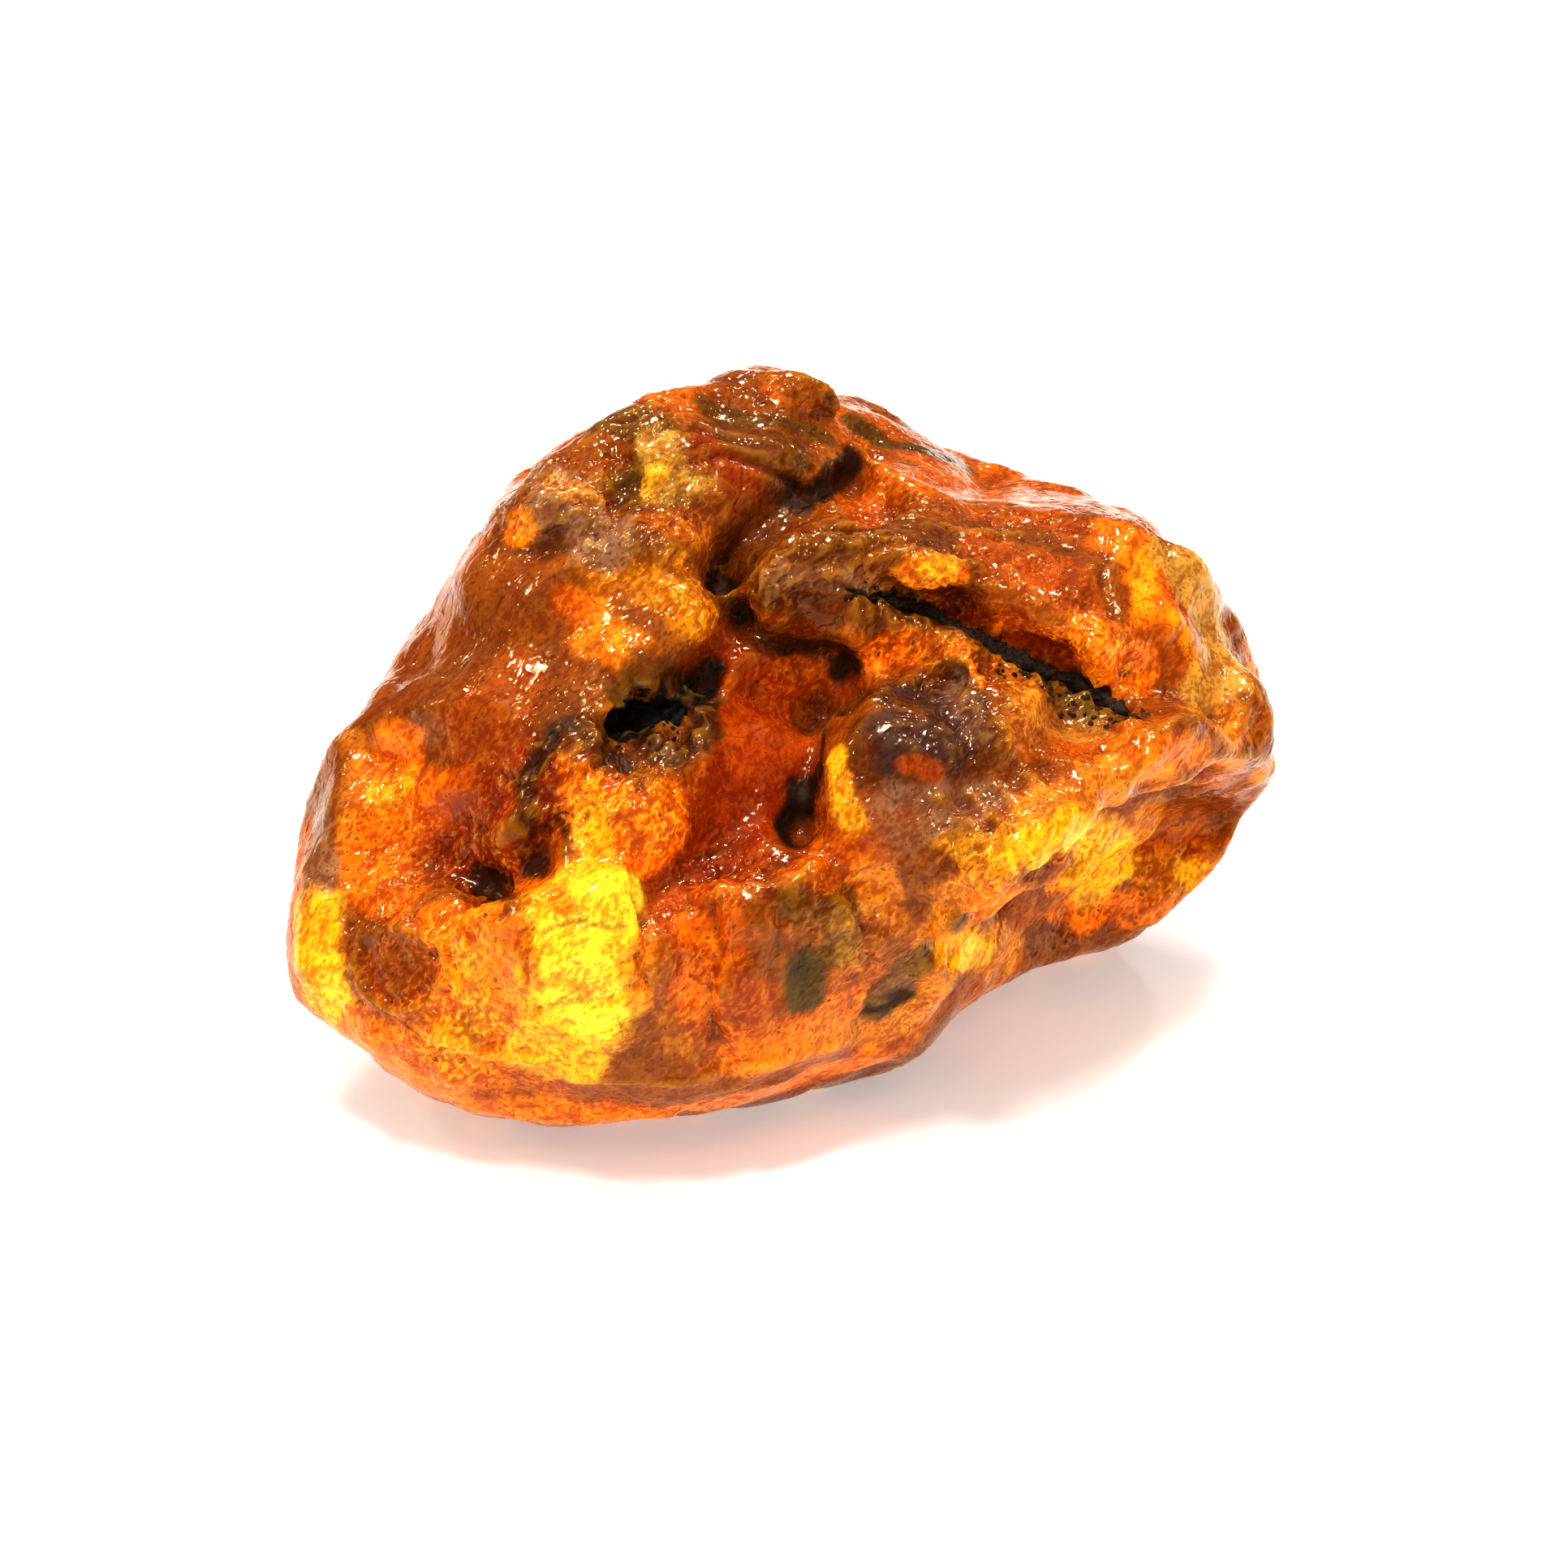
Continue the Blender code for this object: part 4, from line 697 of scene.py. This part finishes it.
def amberMaterial():
    bench = Bench("raw_amber")
    place = bench.add("ShaderNodeTexCoord", output="Object")
    drawn = bench.add("ShaderNodeMapping", {"vector_type": "TEXTURE"}, {
        "Vector": place, "Rotation": amberLook["grainTurn"],
        "Scale": (1.0, 1.0, amberLook["grainStretch"])})
    mottle, wrinkled, light = bench.mask("mottle"), bench.mask("wrinkled"), bench.mask("light")
    hollow, edge = bench.mask("hollow"), bench.mask("edge")
    fine = bench.noise(drawn, amberLook["fineSize"], 1.0, 0.6)
    ripple = bench.noise(drawn, amberLook["rippleSize"], 1.0, 0.5)
    vein = bench.noise(place, amberLook["veinSize"], 0.0)
    crest = bench.crest(ripple, 6.0)

    colour = bench.add("ShaderNodeAttribute", {"attribute_name": "tint"}, output="Color")
    unclear = 1.0 - bench.step(light, 0.6, 0.95) * 0.62
    shade = bench.step(mottle * 0.4 + fine * 0.8, 0.44, 0.70)
    colour = bench.blend((1.0 - shade) * unclear, colour, (*amberLook["deep"], 1.0), "MULTIPLY")
    line = bench.crest(vein, 60.0) * bench.step(mottle, 0.4, 0.6)
    dots = bench.step(fine, 0.63, 0.70)
    # painted shade in the troughs between the wrinkles
    trough = (1.0 - crest) * wrinkled
    # dark specks and fine lines, with painted shade in the wrinkle troughs and hollows, all drawn toward
    # the dark colour
    stainAndShade = bench.add("ShaderNodeClamp", {}, {
        "Value": (line * 0.4 + dots * 0.5 + trough * 0.22) * unclear + hollow * 0.8})
    colour = bench.blend(stainAndShade, colour, (*amberLook["speckAndShade"], 1.0))
    # painted highlight: gold on the crests
    colour = bench.blend(edge * 0.3, colour, (*amberLook["gold"], 1.0))
    # painted glint: gold glow along the wrinkle crests in the clear places
    paintedGlint = (crest ** 3.0) * bench.step(fine, 0.46, 0.58) * wrinkled * light * 1.4
    weathered = bench.mask("crust")
    crust = bench.add("ShaderNodeClamp", {}, {
        "Value": weathered + (mottle - 0.5) * 0.5 + dots * 0.4 + hollow * 0.3, "Min": 0.03, "Max": 0.98})

    bump = bench.add("ShaderNodeBump", {}, {
        "Strength": 0.8, "Distance": amberLook["bumpHeight"] * millimetre,
        "Height": (ripple * 2.0 + crest * 0.45) * (wrinkled * 0.95 + 0.1)})
    gloss = mottle * 0.08 + unclear * 0.05 + bench.step(weathered, 0.9, 1.0) * 0.45
    # painted glow: emission in the clear places, in place of light passing through the stone from behind
    # and below
    glow = bench.blend(light * (0.55 + 0.45 * shade) * (1.0 - stainAndShade), (0, 0, 0, 1), colour)
    glow = bench.blend(paintedGlint, glow, (*amberLook["gold"], 1.0))
    shared = {
        "Base Color": colour, "IOR": amberLook["ior"], "Normal": bump,
        "Specular Tint": (*amberLook["shine"], 1.0), "Specular IOR Level": amberLook["reflection"],
        "Emission Color": glow, "Emission Strength": amberLook["glowStrength"]}
    inside = bench.add("ShaderNodeBsdfPrincipled", {}, {
        **shared, "Roughness": gloss, "Transmission Weight": amberLook["transmission"]})
    skin = bench.add("ShaderNodeBsdfPrincipled", {}, {**shared, "Roughness": gloss + 0.04})
    surface = bench.add("ShaderNodeMixShader", {}, {0: crust, 1: inside, 2: skin})
    depth = bench.add("ShaderNodeVolumeAbsorption", {}, {
        "Color": (*amberLook["absorption"], 1.0), "Density": amberLook["absorptionDensity"]})
    return bench.finish(surface, depth)


# The fillings, in mm: distance between points, rounds of softening, size and height of each relief,
# how far the skin stands out, and the dark and light of the colour
barkLook = {
    "voxel": 0.13, "smoothing": 2, "ridges": (1.4, 0.4), "grit": (0.34, 0.22), "proud": 0.05,
    "dark": (0.016, 0.010, 0.006), "light": (0.19, 0.125, 0.07),
}
earthLook = {
    "voxel": 0.17, "smoothing": 2, "lumps": (1.0, 0.5), "grit": (0.4, 0.2), "proud": 0.15,
    "dark": (0.008, 0.006, 0.005), "light": (0.05, 0.036, 0.026),
}


def dryMaterial(name, look, grain):
    bench = Bench(name)
    place = bench.add("ShaderNodeTexCoord", output="Object")
    streaks = bench.noise(place, grain, 5.0, 0.65, 0.8)
    grit = bench.noise(place, grain * 0.3, 2.0, 0.5)
    colour = bench.add("ShaderNodeValToRGB", {"stops": [
        (0.32, look["dark"]), (0.55, tuple((d + l) / 2 for d, l in zip(look["dark"], look["light"]))),
        (0.72, look["light"])]}, {"Fac": streaks * 0.7 + grit * 0.3})
    bump = bench.add("ShaderNodeBump", {}, {
        "Strength": 0.8, "Distance": 0.0002, "Height": streaks + grit * 0.5})
    surface = bench.add("ShaderNodeBsdfPrincipled", {}, {
        "Base Color": colour, "Roughness": 0.55 + 0.35 * grit, "Normal": bump})
    return bench.finish(surface)


def makeFilling(nodeName, pieceName, look, material):
    # the bark or the earth, roughened, in place of its plain solid
    piece = nodeCopy(nodeName, pieceName)
    evenFaces(piece, look["voxel"], look["smoothing"])
    points = meshPoints(piece.data)
    bent = warped(points, 1.0, 0.5, 71)
    points = points + meshNormals(piece.data) * look["proud"]
    for i, (size, height) in enumerate(v for k, v in look.items() if k in ("lumps", "ridges", "grit")):
        points = points + meshNormals(piece.data) * ((creased(bent, size, 73 + i) - 0.5) * height)[:, None]
    setMeshPoints(piece.data, points)
    piece.data.materials.append(material)
    piece.data.shade_smooth()
    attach(piece, "root")
    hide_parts(nodeName)


# Crumbs stuck on the skin: how many on a square millimetre, half widths in mm, and where they lie:
# path on the sheet, how far from it in mm
crumbLook = {
    "bark_crumbs": {"amount": 2.6, "smallest": 0.07, "largest": 0.26, "seed": 5, "places": [
        ([(4.0, 11.9), (8.9, 10.4), (15.2, 7.0), (21.6, 4.1)], 1.0),
        ([(14.6, 6.6), (19.4, 4.4)], 1.7)]},
    "earth_crumbs": {"amount": 2.4, "smallest": 0.06, "largest": 0.24, "seed": 9, "places": [
        ([(-10.0, 3.2), (-6.6, 4.6)], 3.4),
        ([(-6.2, 5.4), (-4.4, 6.8)], 0.9),
        ([(-4.2, 12.2), (-2.2, 10.8)], 1.1)]},
}


def skinNear(mesh, places, name):
    # the skin's faces along some paths, as an object of their own
    centres = np.empty(len(mesh.polygons) * 3)
    mesh.polygons.foreach_get("center", centres)
    centres = centres.reshape(-1, 3) / millimetre
    near = np.zeros(len(centres), bool)
    for path, reach in places:
        near |= pathGap(centres, skinPath(path)) < reach
    shape = bmesh.new()
    shape.from_mesh(mesh)
    shape.faces.ensure_lookup_table()
    bmesh.ops.delete(shape, geom=[shape.faces[i] for i in np.flatnonzero(~near)], context="FACES")
    host = bpy.data.objects.new(name, bpy.data.meshes.new(name))
    shape.to_mesh(host.data)
    shape.free()
    scene.collection.objects.link(host)
    return host


def crumbTree(material):
    # small broken grains strewn over a piece of skin
    bench = Bench("crumbs", "geometry")
    inputs = {}
    kinds = {"Skin": "Geometry", "Amount": "Float", "Smallest": "Float", "Largest": "Float", "Seed": "Int"}
    for title, kind in kinds.items():
        bench.tree.interface.new_socket(title, in_out="INPUT", socket_type="NodeSocket" + kind)
        inputs[title] = bench.add("NodeGroupInput", output=title)
    bench.tree.interface.new_socket("Crumbs", in_out="OUTPUT", socket_type="NodeSocketGeometry")
    spots = bench.add("GeometryNodeDistributePointsOnFaces", {}, {
        "Mesh": inputs["Skin"], "Density": inputs["Amount"], "Seed": inputs["Seed"]})
    crumb = bench.add("GeometryNodeMeshIcoSphere", {}, {"Radius": 1.0, "Subdivisions": 1})
    knocks = bench.add("FunctionNodeRandomValue", {"data_type": "FLOAT_VECTOR"}, {
        0: (-0.3, -0.3, -0.3), 1: (0.3, 0.3, 0.3), "Seed": 3})
    crumb = bench.add("GeometryNodeSetPosition", {}, {"Geometry": crumb, "Offset": knocks})
    turn = bench.add("FunctionNodeRandomValue", {"data_type": "FLOAT_VECTOR"}, {
        0: (0.0, 0.0, 0.0), 1: (6.28, 6.28, 6.28), "Seed": inputs["Seed"]})
    size = bench.add("FunctionNodeRandomValue", {"data_type": "FLOAT_VECTOR"}, {
        0: inputs["Smallest"], 1: inputs["Largest"], "Seed": inputs["Seed"]})
    strewn = bench.add("GeometryNodeInstanceOnPoints", {}, {
        "Points": spots, "Instance": crumb, "Rotation": turn, "Scale": size})
    strewn = bench.add("GeometryNodeRealizeInstances", {}, {"Geometry": strewn})
    strewn = bench.add("GeometryNodeSetMaterial", {}, {"Geometry": strewn, "Material": material})
    bench.add("NodeGroupOutput", {}, {"Crumbs": strewn}, output=None)
    return bench.tree


def strewCrumbs(pieceName, material):
    look = crumbLook[pieceName]
    piece = skinNear(lump.data, look["places"], pieceName)
    strew = piece.modifiers.new("strew", "NODES")
    strew.node_group = crumbTree(material)
    values = {"Amount": look["amount"] / millimetre ** 2, "Smallest": look["smallest"] * millimetre,
              "Largest": look["largest"] * millimetre, "Seed": look["seed"]}
    for item in strew.node_group.interface.items_tree:
        if item.name in values:
            strew[item.identifier] = values[item.name]
    takeModifiers(piece)
    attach(piece, "root")
    print(pieceName, "has", len(piece.data.polygons), "faces")


print("stage: lump skin")
lump = nodeCopy("amber_lump", "weathered_amber")
evenFaces(lump, lumpSkin["voxel"], lumpSkin["smoothing"])
shares, masks = paintSkin(lump.data)
carveSkin(lump.data, masks["wrinkled"])
dent = hollowness(lump.data, hollowLook["narrowRounds"])
broadDent = hollowness(lump.data, hollowLook["broadRounds"])
# the near-black finish is kept mostly in the hollows, where it is dirt and painted shade
leastDirtAndShade = hollowLook["leastDirtAndShade"]
shares["dirtAndShade"] *= leastDirtAndShade + (1.0 - leastDirtAndShade) * smoothStep(-0.1, 0.1, dent + 0.5 * broadDent)
whole = sum(shares.values())
mixes = [(shares[finish] / whole, *look) for finish, look in finishes.items()]
storeTint(lump.data, sum(np.outer(share, colour) for share, colour, crust, light in mixes))
masks["crust"] = sum(share * crust for share, colour, crust, light in mixes)
masks["light"] = sum(share * light for share, colour, crust, light in mixes)
# painted shade: darker the deeper a point lies in a hollow, narrow and broad
masks["hollow"] = smoothStep(*hollowLook["narrowDepths"], dent) * hollowLook["narrowStrength"]
masks["hollow"] += smoothStep(*hollowLook["broadDepths"], broadDent) * hollowLook["broadStrength"]
# painted highlight on the crests, where a point stands above its surroundings
masks["edge"] = smoothStep(*hollowLook["edgeHeights"], -dent)
for maskName, maskValues in masks.items():
    storeMask(lump.data, maskName, maskValues)
lump.data.materials.append(amberMaterial())
lump.data.shade_smooth()
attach(lump, "root")
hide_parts("amber_lump")
print("lump skin has", len(lump.data.polygons), "faces")

print("stage: bark and earth")
dryBark = dryMaterial("dry_bark", barkLook, 0.8)
blackEarth = dryMaterial("black_earth", earthLook, 0.9)
makeFilling("bark_strip", "bark_fibres", barkLook, dryBark)
makeFilling("earth_plug", "packed_earth", earthLook, blackEarth)
strewCrumbs("bark_crumbs", dryBark)
strewCrumbs("earth_crumbs", blackEarth)

print("stage: studio")
studio = {
    "gamma": 0.68,
    "floorSize": 6.0,
    "floorColour": (0.86, 0.86, 0.86),
    "floorGlow": 0.47,
    "glowColour": (0.88, 0.97, 1.0),
    "skyStrength": 0.32,
    "lamps": {                  # place, size in metres, watts
        "ceiling": ((0.0, 0.0, 1.6), 2.4, 12.0),
        "key": ((-0.20, -0.30, 1.20), 0.18, 5.0),
        "backGlint": ((-0.12, 0.52, 0.62), 0.13, 2.2),
        "backRightGlint": ((0.36, 0.40, 0.60), 0.08, 0.7),
        "sideGlint": ((-0.46, 0.12, 0.40), 0.06, 0.4),
        "topGlint": ((0.14, -0.02, 0.62), 0.08, 1.0),
    },
}


def floorMaterial():
    bench = Bench("pale_floor")
    place = bench.add("ShaderNodeTexCoord", output="Object")
    tone = bench.noise(place, 400.0, 2.0)
    pale = bench.blend(tone, (*studio["floorColour"], 1.0), (0.88, 0.88, 0.88, 1.0))
    plain = bench.add("ShaderNodeBsdfDiffuse", {}, {"Color": pale})
    glow = bench.add("ShaderNodeEmission", {}, {
        "Color": (*studio["glowColour"], 1.0), "Strength": studio["floorGlow"]})
    return bench.finish(bench.add("ShaderNodeAddShader", {}, {0: plain, 1: glow}))


floorShape = bmesh.new()
bmesh.ops.create_grid(floorShape, x_segments=1, y_segments=1, size=studio["floorSize"] / 2)
floorMesh = bpy.data.meshes.new("floor")
floorShape.to_mesh(floorMesh)
floorShape.free()
floor = bpy.data.objects.new("floor", floorMesh)
floorMesh.materials.append(floorMaterial())
scene.collection.objects.link(floor)


def softLight(name, place, size, power):
    lamp = bpy.data.lights.new(name, "AREA")
    lamp.size = size
    lamp.energy = power
    holder = bpy.data.objects.new(name, lamp)
    holder.location = place
    holder.rotation_euler = (sheetMiddle - Vector(place)).to_track_quat("-Z", "Y").to_euler()
    scene.collection.objects.link(holder)


for lampName, (lampPlace, lampSize, lampPower) in studio["lamps"].items():
    softLight(lampName, lampPlace, lampSize, lampPower)
world = bpy.data.worlds.new("white_room")
world.use_nodes = True
background = world.node_tree.nodes["Background"]
background.inputs["Color"].default_value = (1.0, 1.0, 1.0, 1.0)
background.inputs["Strength"].default_value = studio["skyStrength"]
scene.world = world
scene.view_settings.view_transform = "Standard"
scene.view_settings.gamma = studio["gamma"]

camera = bpy.data.objects.new("camera", bpy.data.cameras.new("camera"))
camera.data.lens = view["lens"]
camera.data.sensor_width = view["sensor"]
camera.data.clip_start = 0.01
camera.location = eye
camera.rotation_euler = frontToward.to_track_quat("Z", "Y").to_euler()
scene.collection.objects.link(camera)
scene.camera = camera
